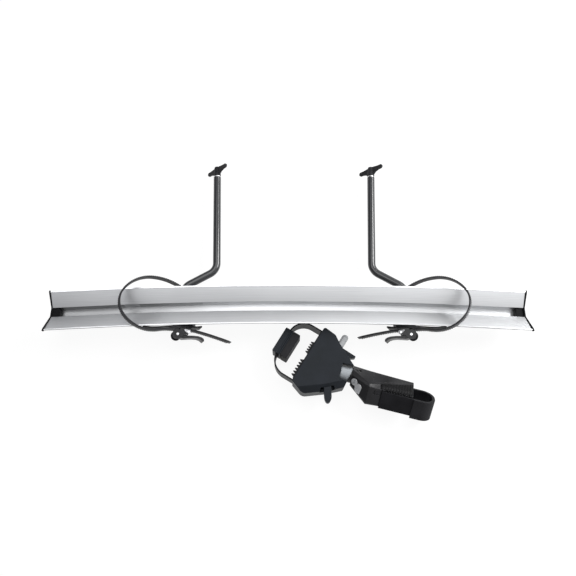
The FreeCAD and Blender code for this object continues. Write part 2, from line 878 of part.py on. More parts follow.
def root_point():
    """Pin that the strap's root turns on, in the strap's plane."""
    lead = size("lead_radius")
    top = size("loop_mid") + size("loop_half_height")
    lean = math.radians(size("lead_angle"))
    start = Vector(size("loop_centre") - lead * math.sin(lean), top - lead * (1 - math.cos(lean)), 0)
    run = start.x - size("root_pin_out")
    return Vector(size("root_pin_out"), start.y - run * math.tan(lean), 0)


def strap_line():
    """Centre line of the strap: (kind, data) pieces from the root pin to the tail."""
    centre = size("loop_centre")
    mid = size("loop_mid")
    half = size("loop_half_height")
    side_radius = size("loop_side_radius")
    reach = size("loop_reach")
    shift = reach - side_radius
    end_radius = (shift ** 2 + half ** 2 - side_radius ** 2) / (2 * (half - side_radius))
    lead = size("lead_radius")
    top_centre = Vector(centre, mid + half - end_radius, 0)
    low_centre = Vector(centre, mid - half + end_radius, 0)
    side_centre = Vector(centre + shift, mid, 0)
    join = math.degrees(math.atan2(side_centre.y - top_centre.y, side_centre.x - top_centre.x))
    lead_centre = Vector(centre, mid + half - lead, 0)
    run = -size("strap_run")
    rise = run - (mid - half)
    swing = 0.5 * (centre - size("ease_end"))
    ease = (swing ** 2 + (rise / 2) ** 2) / rise
    turn = math.degrees(math.asin(swing / ease))
    first_centre = Vector(centre, mid - half + ease, 0)
    second_centre = Vector(centre - 2 * swing, run - ease, 0)
    exit_point = Vector(size("strap_exit"), run, 0)
    tail_radius = size("tail_radius")
    tail_turn = size("tail_turn")
    tail_centre = exit_point + Vector(0, -tail_radius, 0)
    droop_radius = size("droop_radius")
    lean = math.radians(90 + tail_turn)
    tail_start = tail_centre + Vector(math.cos(lean), math.sin(lean), 0) * tail_radius
    droop_centre = tail_centre + (tail_start - tail_centre) * (1 - droop_radius / tail_radius)
    return [
        ("line", root_point(), None),
        ("arc", lead_centre, lead, 90 + size("lead_angle"), 90.0),
        ("arc", top_centre, end_radius, 90.0, join),
        ("arc", side_centre, side_radius, join, -join),
        ("arc", low_centre, end_radius, -join, -90.0),
        ("arc", first_centre, ease, -90.0, -90.0 - turn),
        ("arc", second_centre, ease, 90.0 - turn, 90.0),
        ("line", exit_point, None),
        ("arc", tail_centre, tail_radius, 90.0, 90.0 + tail_turn),
        ("arc", droop_centre, droop_radius, 90.0 + tail_turn, 90.0 + tail_turn + size("droop_turn")),
    ]


def around(centre, radius, degrees):
    angle = math.radians(degrees)
    return centre + Vector(math.cos(angle), math.sin(angle), 0) * radius


def strap_stations(step):
    """Evenly spaced (point, outward normal) pairs along the strap's centre line."""
    stations = []
    pieces = strap_line()
    previous = root_point()
    for piece in pieces[1:]:
        if piece[0] == "line":
            target = piece[1]
            length = (target - previous).Length
            count = max(1, round(length / step))
            along = (target - previous).normalize()
            outward = Vector(-along.y, along.x, 0)
            for index in range(count):
                stations.append((previous + along * (length * index / count), outward))
            previous = target
            continue
        kind, centre, radius, first, last = piece
        enter = around(centre, radius, first)
        if (enter - previous).Length > 0.01:
            length = (enter - previous).Length
            count = max(1, round(length / step))
            along = (enter - previous).normalize()
            outward = Vector(-along.y, along.x, 0)
            for index in range(count):
                stations.append((previous + along * (length * index / count), outward))
        length = abs(math.radians(last - first)) * radius
        count = max(1, round(length / step))
        for index in range(count):
            angle = first + (last - first) * index / count
            outward = around(Vector(0, 0, 0), 1.0, angle)
            if last > first:
                outward = outward * -1.0
            stations.append((around(centre, radius, angle), outward))
        previous = around(centre, radius, last)
    stations.append((previous, stations[-1][1]))
    return stations


PLAIN_ROOT = 14
PLAIN_TAIL = 4
TAIL_TAPER = 5
TAIL_TIP = 0.3


def ladder_strap(side, frame, node):
    """Toothed strap: a smooth inner side, teeth outside, an eye at the root and a rounded tail."""
    half = size("strap_thickness") / 2
    tooth = size("tooth_height")
    stations = strap_stations(size("tooth_pitch") / 2)
    inner = []
    outer = []
    last = len(stations) - 1
    for index, (spot, outward) in enumerate(stations):
        plain = index < PLAIN_ROOT or index > last - PLAIN_TAIL
        rise = 0.0 if plain or index % 2 else tooth
        thin = half * min(1.0, TAIL_TIP + (last - index) / TAIL_TAPER)
        outer.append(spot + outward * (thin + rise))
        if index % 2 == 0 or index == last:
            inner.append(spot - outward * thin)
    ring = outer + list(reversed(inner))
    edges = [Part.makeLine(ring[index], ring[(index + 1) % len(ring)]) for index in range(len(ring))]
    width = size("strap_width")
    ribbon = Part.Face(Part.Wire(edges)).extrude(Vector(0, 0, width))
    ribbon.translate(Vector(0, 0, -width / 2))
    base = root_point() - Vector(0, 0, width / 2)
    eye = Part.makeCylinder(size("root_eye"), width, base)
    hole = Part.makeCylinder(size("root_pin_diameter") / 2 + size("fit_gap"), width, base)
    item = doc.addObject("Part::Feature", "strap_%s" % node)
    item.Shape = ribbon.fuse(eye).cut(hole).removeSplitter()
    keep(item, node, frame.multiply(strap_frame(side)))


def strap_pin(side, frame, node):
    """Pin through the strap's eye into the saddle's boss."""
    under = -1 if side > 0 else 1
    start = root_point() + Vector(0, 0, -under * size("strap_width") / 2)
    axis = Vector(0, 0, under)
    shank = cylinder(
        "root_shank_%s" % node,
        "Sizes.root_pin_diameter / 2",
        "Sizes.strap_width + Sizes.root_boss_depth - 2 * Sizes.tray_wall",
        start,
        axis,
    )
    head_radius = "Sizes.root_pin_diameter - 2 * Sizes.moving_gap"
    head = cylinder("root_head_%s" % node, head_radius, "Sizes.rivet_head", start, axis * -1.0)
    keep(fuse("root_%s" % node, [shank, head]), node, frame.multiply(strap_frame(side)))


# Buckle

def buckle_base(side, frame, node):
    """Long tongue that the strap is pulled over, flush with the saddle's near arm."""
    face = -size("base_face")
    back = face - size("base_thickness")
    start = -size("base_start")
    end = size("base_end")
    dip = face - size("base_dip")
    body = rounded_prism(
        "tongue_%s" % node,
        "XY_Plane",
        [
            (30.0, back, 0.0),
            (start, back + 1.5, 2.0),
            (start, face + 2.0, 1.0),
            (start + 12.0, face, 10.0),
            (end - 75.0, face, 60.0),
            (end - 36.0, dip + 2.7, 60.0),
            (end - 18.0, dip + 1.0, 40.0),
            (end, dip + 1.9, 0.0),
            (end, dip + 1.0, 0.0),
            (end - 18.0, dip - 0.6, 40.0),
            (end - 36.0, dip + 0.6, 60.0),
            (end - 50.0, back, 40.0),
        ],
        "Sizes.base_width",
    )
    keep(body, node, frame.multiply(strap_frame(side)))


def buckle_frame(side, frame, node):
    """Folded steel channel: a floor on the tongue and two cheeks for the pins."""
    back = -size("base_face") - size("base_thickness")
    pivot = Vector(size("pivot_out"), -size("pivot_down"), 0)
    body = rounded_prism(
        "cheeks_%s" % node,
        "XY_Plane",
        [
            (45.0, back, 0.0),
            (70.0, back, 1.0),
            (pivot.x + 9.0, pivot.y - 5.0, 8.0),
            (pivot.x - 7.0, pivot.y - 7.0, 7.0),
            (24.0, -64.0, 4.0),
            (18.0, -57.0, 3.0),
            (18.0, back, 1.0),
        ],
        "Sizes.frame_width",
    )
    throat = new_sketch(body, "XY_Plane")
    floor = back - size("frame_floor")
    draw_rounded(throat, [(0.0, floor, 0.0), (0.0, -90.0, 0.0), (90.0, -90.0, 0.0), (90.0, floor, 0.0)])
    pocket(body, throat, "Sizes.frame_inside")
    bores = new_sketch(body, "XY_Plane")
    draw_circle(bores, "Sizes.pivot_out", "-Sizes.pivot_down", "Sizes.pivot_diameter / 2 + Sizes.fit_gap / 2")
    draw_circle(bores, "Sizes.pawl_out", "-Sizes.pawl_down", "Sizes.pawl_pin / 2 + Sizes.fit_gap / 2")
    pocket(body, bores, "2 * Sizes.frame_width")
    keep(body, node, frame.multiply(strap_frame(side)))


def buckle_pins(side, frame, node):
    """The lever's pivot pin and the pawl's pin, both with heads outside the cheeks."""
    pins = []
    for name, out, down, diameter in (
        ("pivot", "pivot_out", "pivot_down", "pivot_diameter"),
        ("pawl", "pawl_out", "pawl_down", "pawl_pin"),
    ):
        start = Vector(size(out), -size(down), -size("frame_width") / 2)
        shank = cylinder("%s_shank_%s" % (name, node), "Sizes.%s / 2" % diameter, "Sizes.frame_width", start)
        rivet = "Sizes.%s / 2 + 1" % diameter
        other = start + Vector(0, 0, size("frame_width"))
        low = cylinder("%s_low_%s" % (name, node), rivet, "Sizes.rivet_head", start, Vector(0, 0, -1))
        high = cylinder("%s_high_%s" % (name, node), rivet, "Sizes.rivet_head", other)
        pins.append(fuse("%s_pin_%s" % (name, node), [shank, low, high]))
    keep(group("pins_%s" % node, pins), node, frame.multiply(strap_frame(side)))


def ratchet_lever(side, frame, node):
    """Round boss on the pivot and a curved thumb arm."""
    pivot = Vector(size("pivot_out"), -size("pivot_down"), 0)
    arm = rounded_prism(
        "thumb_%s" % node,
        "XY_Plane",
        [
            (pivot.x, pivot.y + 5.0, 0.0),
            (26.0, -62.6, 30.0),
            (7.0, -65.6, 20.0),
            (-8.0, -70.5, 3.5),
            (-7.0, -76.8, 3.0),
            (6.0, -74.8, 20.0),
            (18.0, -70.2, 25.0),
            (32.0, -69.8, 20.0),
            (pivot.x - 2.0, pivot.y - 8.0, 0.0),
        ],
        "Sizes.lever_width",
    )
    half = size("lever_width") / 2
    lobe = cylinder("lobe_%s" % node, "Sizes.lobe_radius", "Sizes.lever_width", pivot - Vector(0, 0, half))
    bore = cylinder(
        "lever_bore_%s" % node,
        "Sizes.pivot_diameter / 2 + Sizes.fit_gap",
        "Sizes.lever_width",
        pivot - Vector(0, 0, half),
    )
    keep(
        cut("lever_%s" % node, fuse("lever_body_%s" % node, [arm, lobe]), [bore]),
        node,
        frame.multiply(strap_frame(side)),
    )


def buckle_pawl(side, frame, node):
    """Small sprung tooth that holds the strap."""
    spot = Vector(size("pawl_out"), -size("pawl_down"), 0)
    radius = size("pawl_radius")
    tooth = rounded_prism(
        "tooth_%s" % node,
        "XY_Plane",
        [
            (spot.x, spot.y + radius, 0.0),
            (spot.x + 8.0, spot.y + radius - 0.3, 0.4),
            (spot.x + 2.0, spot.y - radius + 0.8, 0.0),
            (spot.x, spot.y - radius + 0.5, 0.0),
        ],
        "Sizes.pawl_width",
    )
    half = size("pawl_width") / 2
    barrel = cylinder("pawl_barrel_%s" % node, "Sizes.pawl_radius", "Sizes.pawl_width", spot - Vector(0, 0, half))
    bore = cylinder(
        "pawl_bore_%s" % node, "Sizes.pawl_pin / 2 + Sizes.fit_gap", "Sizes.pawl_width", spot - Vector(0, 0, half)
    )
    keep(
        cut("pawl_%s" % node, fuse("pawl_body_%s" % node, [tooth, barrel]), [bore]),
        node,
        frame.multiply(strap_frame(side)),
    )


def carriage(side, hand):
    """Everything on one mounting bar."""
    frame = station_frame(size("carriage_offset") + side * size("bar_spacing") / 2)
    bar_tube(side, frame, "bar_tube_" + hand)
    bar_plug(frame, "bar_plug_" + hand)
    bar_insert(side, frame, "bar_insert_" + hand)
    clamp_washer(side, frame, "clamp_washer_" + hand)
    wing_knob(side, frame, "wing_knob_" + hand)
    knob_stud(side, frame, "knob_stud_" + hand)
    tray_saddle(side, frame, "tray_saddle_" + hand)
    foot_saddle(frame, "foot_saddle_" + hand)
    saddle_bolts(frame, "saddle_bolts_" + hand)
    slot_nut(frame, "slot_nut_" + hand)
    ladder_strap(side, frame, "ladder_strap_" + hand)
    strap_pin(side, frame, "strap_pin_" + hand)
    buckle_base(side, frame, "buckle_base_" + hand)
    buckle_frame(side, frame, "buckle_frame_" + hand)
    buckle_pins(side, frame, "buckle_pins_" + hand)
    ratchet_lever(side, frame, "ratchet_lever_" + hand)
    buckle_pawl(side, frame, "buckle_pawl_" + hand)


# Frame clamp: jaw

def jaw_frame():
    """Frame at the mouth's upper corner: X runs down the mouth, Y into the jaw."""
    east = value("Sizes.neck_east + Sizes.jaw_corner_east")
    spot = Vector(east, value("Sizes.neck_north + Sizes.jaw_corner_north"), 0)
    return Placement(spot, Rotation(Vector(0, 0, 1), size("jaw_azimuth")))


def arm_frame():
    """Frame on the neck's axis: X runs from the jaw to the arm, Z is up."""
    spot = Vector(size("neck_east"), size("neck_north"), size("neck_height"))
    return Placement(spot, Rotation(Vector(0, 0, 1), size("arm_azimuth")))


def housing_frame():
    """The arm's own frame, rolled about the neck's axis as the arm lies."""
    roll = Rotation(Vector(1, 0, 0), -size("arm_roll"))
    return arm_frame().multiply(Placement(Vector(0, 0, 0), roll))


def jaw_middle():
    return value("Sizes.jaw_bottom + Sizes.jaw_thickness / 2")


def heading(degrees):
    angle = math.radians(degrees)
    return Vector(math.cos(angle), math.sin(angle), 0)


def tension_pivot():
    return Vector(size("tension_along"), size("tension_deep"), 0)


def release_pivot():
    return Vector(size("release_along"), size("release_deep"), 0)


def button_point():
    return Vector(size("button_along"), size("button_deep"), size("button_height"))


def layer(name, corners, low, high, frame):
    """Prism of a rounded outline between two heights of the jaw."""
    body = new_body(name)
    drawing = new_sketch(body, "XY_Plane", low)
    draw_rounded(drawing, corners)
    pad(body, drawing, "%.4f" % (high - low))
    body.Placement = frame
    return body


def tension_slot(frame):
    """Room for the tension lever over its whole swing."""
    clear = size("tension_width") / 2 + size("moving_gap")
    early = size("tension_heading") - size("tension_swing")
    late = size("tension_heading") + size("tension_swing")
    out = 2 * size("tension_reach")
    pivot = tension_pivot()
    first = pivot + heading(early - 90) * clear
    second = pivot + heading(late + 90) * clear
    back = [pivot + heading(size("tension_heading") + 180 + turn) * clear * 1.5 for turn in (-45, 45)]
    spots = [first, first + heading(early) * out, second + heading(late) * out, second] + back
    corners = [(spot.x, spot.y, 0.0) for spot in spots]
    gap = size("moving_gap")
    low = size("tension_low")
    return layer("tension_slot", corners, low - gap, low + size("tension_height") + gap, frame)


def release_slot(frame):
    """Room for the pointed release lever over its whole swing, open to the back of the jaw."""
    pivot = release_pivot()
    side = 1.8 * size("release_heel")
    deep = size("release_heel") * 2
    high = 5 * size("release_heel")
    corners = [(-side - 5, -deep, 0.0), (-2.0, 2 - deep, 0.0), (side - 1.0, -side / 2, 0.0), (side, side, 0.0)]
    corners += [(4.0, high, 0.0), (-side - 11, high, 0.0)]
    placed = [(pivot.x + x, pivot.y + y, radius) for x, y, radius in corners]
    gap = size("moving_gap")
    low = size("release_low")
    return layer("release_slot", placed, low - gap, low + size("release_height") + gap, frame)


def pin_bores(frame):
    gap = size("fit_gap") / 2
    radius_text = "Sizes.lever_pin / 2 + %.4f" % gap
    bores = []
    for name, spot, low, high in jaw_pin_places():
        start = frame.multVec(spot + Vector(0, 0, low))
        bores.append(cylinder("bore_%s" % name, radius_text, "%.4f" % (high - low), start))
    return bores


def jaw_pin_places():
    seat = size("pin_seat")
    tension = size("tension_low")
    release = size("release_low")
    return [
        ("tension", tension_pivot(), tension - seat, tension + size("tension_height") + seat / 2),
        ("release", release_pivot(), release - seat, release + size("release_height") + seat),
    ]


def jaw_screw_places():
    deep = size("screw_depth")
    ends = size("screw_inset")
    mouth = size("mouth_length")
    return [Vector(ends, deep, 0), Vector(mouth - ends, deep, 0), Vector(size("screw_middle"), deep + 6.0, 0)]


def jaw_corners():
    """Corners of the jaw's outline beyond its mouth, in order from the near end to the far end."""
    mouth = size("mouth_length")
    return [
        (mouth + size("jaw_flare"), size("jaw_flare_deep"), 16.0),
        (size("peg_corner"), size("peg_corner_deep"), 24.0),
        (size("neck_side"), size("jaw_deep"), 6.0),
        (size("neck_side") - size("neck_side_width"), size("jaw_deep") - 3.0, 6.0),
        (size("back_waist"), size("back_waist_deep"), 14.0),
        (size("back_heel"), size("back_heel_deep"), 10.0),
    ]


def bevel_block(name, start, finish, frame):
    """Slanted block that bevels the jaw's top edge between two corners."""
    edge = finish - start
    turn = math.degrees(math.atan2(edge.y, edge.x))
    spot = start + Vector(0, 0, value("Sizes.jaw_bottom + Sizes.jaw_thickness - Sizes.jaw_chamfer"))
    leaning = Rotation(Vector(0, 0, 1), turn).multiply(Rotation(Vector(1, 0, 0), -45))
    reach = size("mouth_length")
    dims = ("2 * Sizes.mouth_length", "Sizes.mouth_length", "2 * Sizes.mouth_length")
    return block(name, Vector(-reach, -reach, -reach), dims, frame.multiply(Placement(spot, leaning)))


def jaw_shells():
    """Two moulded halves that meet on the neck's axis, cut for everything that they hold."""
    frame = jaw_frame()
    body = new_body("jaw_body")
    drawing = new_sketch(body, "XY_Plane", size("jaw_bottom"))
    mouth = size("mouth_length")
    corners = jaw_corners()
    draw_rounded(drawing, [(mouth / 2, 0.0, 0.0), (mouth, 0.0, 5.0)] + corners + [(0.0, 0.0, 5.0)])
    pad(body, drawing, "Sizes.jaw_thickness")
    body.Placement = frame
    arm = arm_frame()
    half = value("Sizes.collar_diameter / 2 + 2 * Sizes.moving_gap")
    notch = block(
        "neck_notch",
        Vector(-size("notch_inset"), -half, -size("jaw_thickness")),
        ("4 * Sizes.notch_inset", "Sizes.collar_diameter + 4 * Sizes.moving_gap", "2 * Sizes.jaw_thickness"),
        arm,
    )
    bore_start = arm.multVec(Vector(-size("neck_inset") - 1.0, 0, 0))
    neck_bore = cylinder(
        "neck_seat",
        "Sizes.neck_diameter / 2 + Sizes.fit_gap",
        "Sizes.neck_inset",
        bore_start,
        arm.Rotation.multVec(Vector(1, 0, 0)),
    )
    reach = size("button_depth")
    inward = frame.Rotation.multVec(Vector(1, 0, 0))
    button_bore = cylinder(
        "button_seat",
        "Sizes.button_diameter / 2 + Sizes.fit_gap",
        "2 * Sizes.button_depth",
        frame.multVec(button_point() - Vector(reach, 0, 0)),
        inward,
    )
    middle = jaw_middle()
    slit = size("moving_gap") / 3
    slots = []
    for name, low in (("first", size("band_first")), ("last", value("Sizes.mouth_length - Sizes.band_last_inset - Sizes.band_thickness"))):
        slots.append(
            block(
                "band_slot_" + name,
                Vector(low - slit, -1.0, middle - size("band_width") / 2 - slit),
                (
                    "Sizes.band_thickness + 2 * Sizes.moving_gap / 3",
                    "Sizes.band_tail + 1.5",
                    "Sizes.band_width + 2 * Sizes.moving_gap / 3",
                ),
                frame,
            )
        )
    screws = []
    for index, spot in enumerate(jaw_screw_places()):
        base = frame.multVec(spot)
        bore = "Sizes.screw_diameter / 2 + Sizes.fit_gap"
        screws.append(cylinder("screw_bore_%d" % index, bore, "Sizes.screw_top + Sizes.moving_gap", base))
        recess = "Sizes.screw_head / 2 + Sizes.moving_gap"
        screws.append(cylinder("screw_recess_%d" % index, recess, "Sizes.jaw_bottom + Sizes.screw_recess", base))
    tools = [notch, neck_bore, button_bore, tension_slot(frame), release_slot(frame)]
    flare, peg, neck = [Vector(x, y, 0) for x, y, radius in corners[:3]]
    tools.append(bevel_block("bevel_near", flare, peg, frame))
    tools.append(bevel_block("bevel_far", peg, neck, frame))
    tools += slots + screws + pin_bores(frame)
    hollow = cut("jaw_hollow", body, tools)
    seam = size("neck_height")
    for node, low in (("jaw_shell_lower", -size("jaw_thickness")), ("jaw_shell_upper", seam)):
        span = "Sizes.neck_height + Sizes.jaw_thickness" if low < 0 else "2 * Sizes.jaw_thickness"
        half_space = block(
            node + "_side",
            Vector(-size("mouth_length"), -size("mouth_length"), low),
            ("4 * Sizes.mouth_length", "4 * Sizes.mouth_length", span),
            frame,
        )
        keep(common(node + "_part", hollow, half_space), node)


FIRST_TEETH = 5
SECOND_TEETH = 6


def jaw_grip():
    """Rubber insert along the mouth: two groups of teeth with a plain relief between them."""
    tooth = size("grip_tooth")
    face = -size("grip_thickness")
    start = size("grip_start")
    end = size("mouth_length") - size("grip_end_inset")
    corners = [(start, 0.0, 0.0), (start, face, 0.0)]
    for first, count, pitch in (
        (size("grip_first"), FIRST_TEETH, size("grip_first_pitch")),
        (size("mouth_length") - size("grip_second_inset"), SECOND_TEETH, size("grip_second_pitch")),
    ):
        corners.append((first, face, 0.0))
        for index in range(count):
            corners.append((first + pitch * (index + 0.42), face - tooth, 0.0))
            corners.append((first + pitch * (index + 0.5), face - tooth, 0.0))
            corners.append((first + pitch * (index + 1), face, 0.0))
    corners += [(end, face, 0.0), (end, 0.0, 0.0)]
    half = size("grip_height") / 2
    keep(layer("grip_body", corners, jaw_middle() - half, jaw_middle() + half, jaw_frame()), "jaw_grip")


def tension_band():
    """Band that pulls the pad towards the jaw, both ends held in the jaw's slots."""
    first = size("band_first")
    last = size("mouth_length") - size("band_last_inset")
    thick = size("band_thickness")
    depth = size("band_depth") + thick / 2
    outer = size("band_corner") + thick / 2
    tail = size("band_tail")
    corners = [
        (first, tail, 0.0),
        (first, -depth, outer),
        (last, -depth, outer),
        (last, tail, 0.0),
        (last - thick, tail, 0.0),
        (last - thick, thick - depth, outer - thick),
        (first + thick, thick - depth, outer - thick),
        (first + thick, tail, 0.0),
    ]
    half = size("band_width") / 2
    keep(layer("band_body", corners, jaw_middle() - half, jaw_middle() + half, jaw_frame()), "tension_band")


def pad_block(name, inner, outer, low, high, radius):
    first = size("pad_first")
    last = size("mouth_length") - size("pad_last_inset")
    corners = [
        ((first + last) / 2, -inner, 0.0),
        (first, -inner, radius),
        (first, -outer, radius),
        (last, -outer, radius),
        (last, -inner, radius),
    ]
    return layer(name, corners, low, high, jaw_frame())


def clamp_pad():
    """Rubber pad and the moulded shoe that carries it on the band."""
    half = size("pad_height") / 2
    low = jaw_middle() - half
    high = jaw_middle() + half
    frame = jaw_frame()
    split = size("pad_split")
    keep(pad_block("rubber_body", size("pad_inner"), split, low, high, 2.0), "pad_rubber")
    shoe = pad_block("shoe_body", split, size("pad_outer"), low, high, 2.0)
    slit = size("moving_gap")
    face = size("band_depth") + size("band_thickness") / 2
    slot = block(
        "shoe_slot",
        Vector(0, -face - slit, jaw_middle() - size("band_width") / 2 - slit),
        ("Sizes.mouth_length", "Sizes.band_thickness + 2 * Sizes.moving_gap", "Sizes.band_width + 2 * Sizes.moving_gap"),
        frame,
    )
    groove = block(
        "shoe_groove",
        Vector(0, -face + size("band_thickness"), high - 2.0),
        ("Sizes.mouth_length", "4", "4"),
        frame,
    )
    keep(cut("shoe_cut", shoe, [slot, groove]), "pad_shoe")


def jaw_pins():
    frame = jaw_frame()
    slack = 2 * size("moving_gap") / 3
    pins = []
    for name, spot, low, high in jaw_pin_places():
        start = frame.multVec(spot + Vector(0, 0, low + slack))
        pins.append(cylinder("jaw_pin_%s" % name, "Sizes.lever_pin / 2", "%.4f" % (high - low - 2 * slack), start))
    keep(group("jaw_pin_group", pins), "jaw_pins")


def jaw_screws():
    frame = jaw_frame()
    screws = []
    seat = value("Sizes.jaw_bottom + Sizes.screw_recess")
    for index, spot in enumerate(jaw_screw_places()):
        low = frame.multVec(spot + Vector(0, 0, seat - size("screw_head_height")))
        head = cylinder("screw_head_%d" % index, "Sizes.screw_head / 2", "Sizes.screw_head_height", low)
        reach = "Sizes.screw_top - Sizes.jaw_bottom - Sizes.screw_recess"
        base = frame.multVec(spot + Vector(0, 0, seat))
        shank = cylinder("screw_shank_%d" % index, "Sizes.screw_diameter / 2", reach, base)
        screws.append(fuse("jaw_screw_%d" % index, [head, shank]))
    keep(group("jaw_screw_group", screws), "jaw_screws")


def tension_lever():
    """Round-ended lever that tightens the band."""
    frame = jaw_frame()
    half = size("tension_width") / 2
    along = heading(size("tension_heading"))
    across = heading(size("tension_heading") + 90)
    pivot = tension_pivot()
    tip = pivot + along * size("tension_reach")
    spots = [pivot + across * half, pivot - along * half + across * half, pivot - along * half - across * half]
    spots += [tip - across * half, tip + across * half]
    rounded = [(spot.x, spot.y, half * 0.99 if index else 0.0) for index, spot in enumerate(spots)]
    low = size("tension_low")
    lever = layer("tension_body", rounded, low, low + size("tension_height"), frame)
    bore_radius = "Sizes.lever_pin / 2 + Sizes.fit_gap"
    bore = cylinder("tension_bore", bore_radius, "Sizes.jaw_thickness", frame.multVec(pivot))
    keep(cut("tension_cut", lever, [bore]), "tension_lever")


def release_lever():
    """Pointed lever at the back of the jaw that frees the band."""
    frame = jaw_frame()
    pivot = release_pivot()
    heel = size("release_heel")
    tip = size("release_reach")
    corners = [
        (-heel, -heel, 0.0),
        (-2 * heel + 2.0, -2 * heel + 3.0, 2.0),
        (-1.5 * heel, tip - 1.0, 1.5),
        (-heel, tip, 1.5),
        (heel - 2.0, tip / 2 - 3.0, 6.0),
        (heel + 1.0, 2.0, 5.0),
        (2.0, -heel - 1.0, 4.0),
    ]
    placed = [(pivot.x + x, pivot.y + y, radius) for x, y, radius in corners]
    low = size("release_low")
    lever = layer("release_body", placed, low, low + size("release_height"), frame)
    bore_radius = "Sizes.lever_pin / 2 + Sizes.fit_gap"
    bore = cylinder("release_bore", bore_radius, "Sizes.jaw_thickness", frame.multVec(pivot))
    keep(cut("release_cut", lever, [bore]), "release_lever")


def release_button():
    """Pale push button with a domed end, in a blind bore of the upper half."""
    frame = jaw_frame()
    outward = frame.Rotation.multVec(Vector(-1, 0, 0))
    radius = size("button_diameter") / 2
    start = frame.multVec(button_point() + Vector(size("button_depth") - size("button_travel"), 0, 0))
    length_text = "Sizes.button_length - Sizes.button_diameter / 2"
    stem = cylinder("button_stem", "Sizes.button_diameter / 2", length_text, start, outward)
    dome = doc.addObject("Part::Sphere", "button_dome")
    dome.setExpression("Radius", "Sizes.button_diameter / 2")
    dome.Placement = Placement(start + outward * (size("button_length") - radius), Rotation())
    keep(fuse("button_body", [stem, dome]), "release_button")


# Frame clamp: arm and band loop

def arm_neck():
    arm = arm_frame()
    axis = arm.Rotation.multVec(Vector(1, 0, 0))
    start = arm.multVec(Vector(-size("neck_inset"), 0, 0))
    length_text = "Sizes.neck_inset + Sizes.neck_outset"
    tube = cylinder("neck_outer", "Sizes.neck_diameter / 2", length_text, start, axis)
    bore = cylinder("neck_inner", "Sizes.neck_bore / 2", length_text, start, axis)
    keep(cut("neck_cut", tube, [bore]), "arm_neck")


def housing_section(body, along, back, ridge, front, radius, crease):
    """Cross section of the housing. Back, ridge and front are its (across, base, top) lines.

    The top face runs from the back to the ridge, and a sloping face from there to the front.
    """
    drawing = new_sketch(body, "YZ_Plane", along)
    back_across, back_base, back_top = back
    ridge_across, ridge_top = ridge
    front_across, front_base, front_top = front
    middle = back_base + (front_base - back_base) * back_across / (back_across + front_across)
    corners = [
        (0.0, -middle, 0.0),
        (back_across, -back_base, radius),
        (back_across, back_top, radius),
        (ridge_across, ridge_top, crease),
        (-front_across, front_top, crease),
        (-front_across, -front_base, radius),
    ]
    draw_rounded(drawing, corners)
    return drawing


HOUSING_ROOT = 19.0
HOUSING_TOP_FALL = 4.0
HOUSING_RIDGE_FALL = 8.0


def housing_loft():
    """The housing's outside: round at the neck, wide at the shoulder, slim at the loop."""
    body = new_body("housing_body")
    top = size("housing_top")
    front = size("housing_front")
    back = size("housing_back")
    base = size("housing_base")
    root = HOUSING_ROOT
    start = housing_section(
        body, size("housing_start"), (root - 1, root - 1, root - 1), (-root / 2, root - 1), (root, root, root / 2), 7.0, 3.5
    )
    shoulder = housing_section(
        body,
        size("housing_shoulder"),
        (back, base - 10.0, top),
        (5.0 - front, top - HOUSING_RIDGE_FALL),
        (front, base, top - HOUSING_RIDGE_FALL - 5.0),
        8.0,
        2.0,
    )
    end_top = top - HOUSING_TOP_FALL
    end = housing_section(
        body,
        size("housing_end"),
        (back - 1.0, base - 13.0, end_top),
        (6.0, end_top - 2.0),
        (front - 11.0, base - 4.0, end_top - 13.0),
        5.0,
        2.0,
    )
    loft = body.newObject("PartDesign::AdditiveLoft", "housing_loft")
    loft.Profile = start
    loft.Sections = [(section, [""]) for section in (shoulder, end)]
    loft.Ruled = True
    body.Placement = housing_frame()
    return body


def housing_collar():
    """Sleeve of the housing on the neck, with a slanted end that reaches further at the lock."""
    frame = housing_frame()
    axis = frame.Rotation.multVec(Vector(1, 0, 0))
    tube = cylinder("collar_tube", "Sizes.collar_diameter / 2", "2 * Sizes.housing_start", frame.Base, axis)
    reach = size("collar_diameter")
    slant = Placement(Vector(size("collar_middle"), 0, 0), Rotation(Vector(0, 1, 0), size("collar_slant")))
    sides = ("2 * Sizes.collar_diameter", "4 * Sizes.collar_diameter", "4 * Sizes.collar_diameter")
    waste = block("collar_waste", Vector(-2 * reach, -2 * reach, -2 * reach), sides, frame.multiply(slant))
    return cut("housing_collar", tube, [waste])


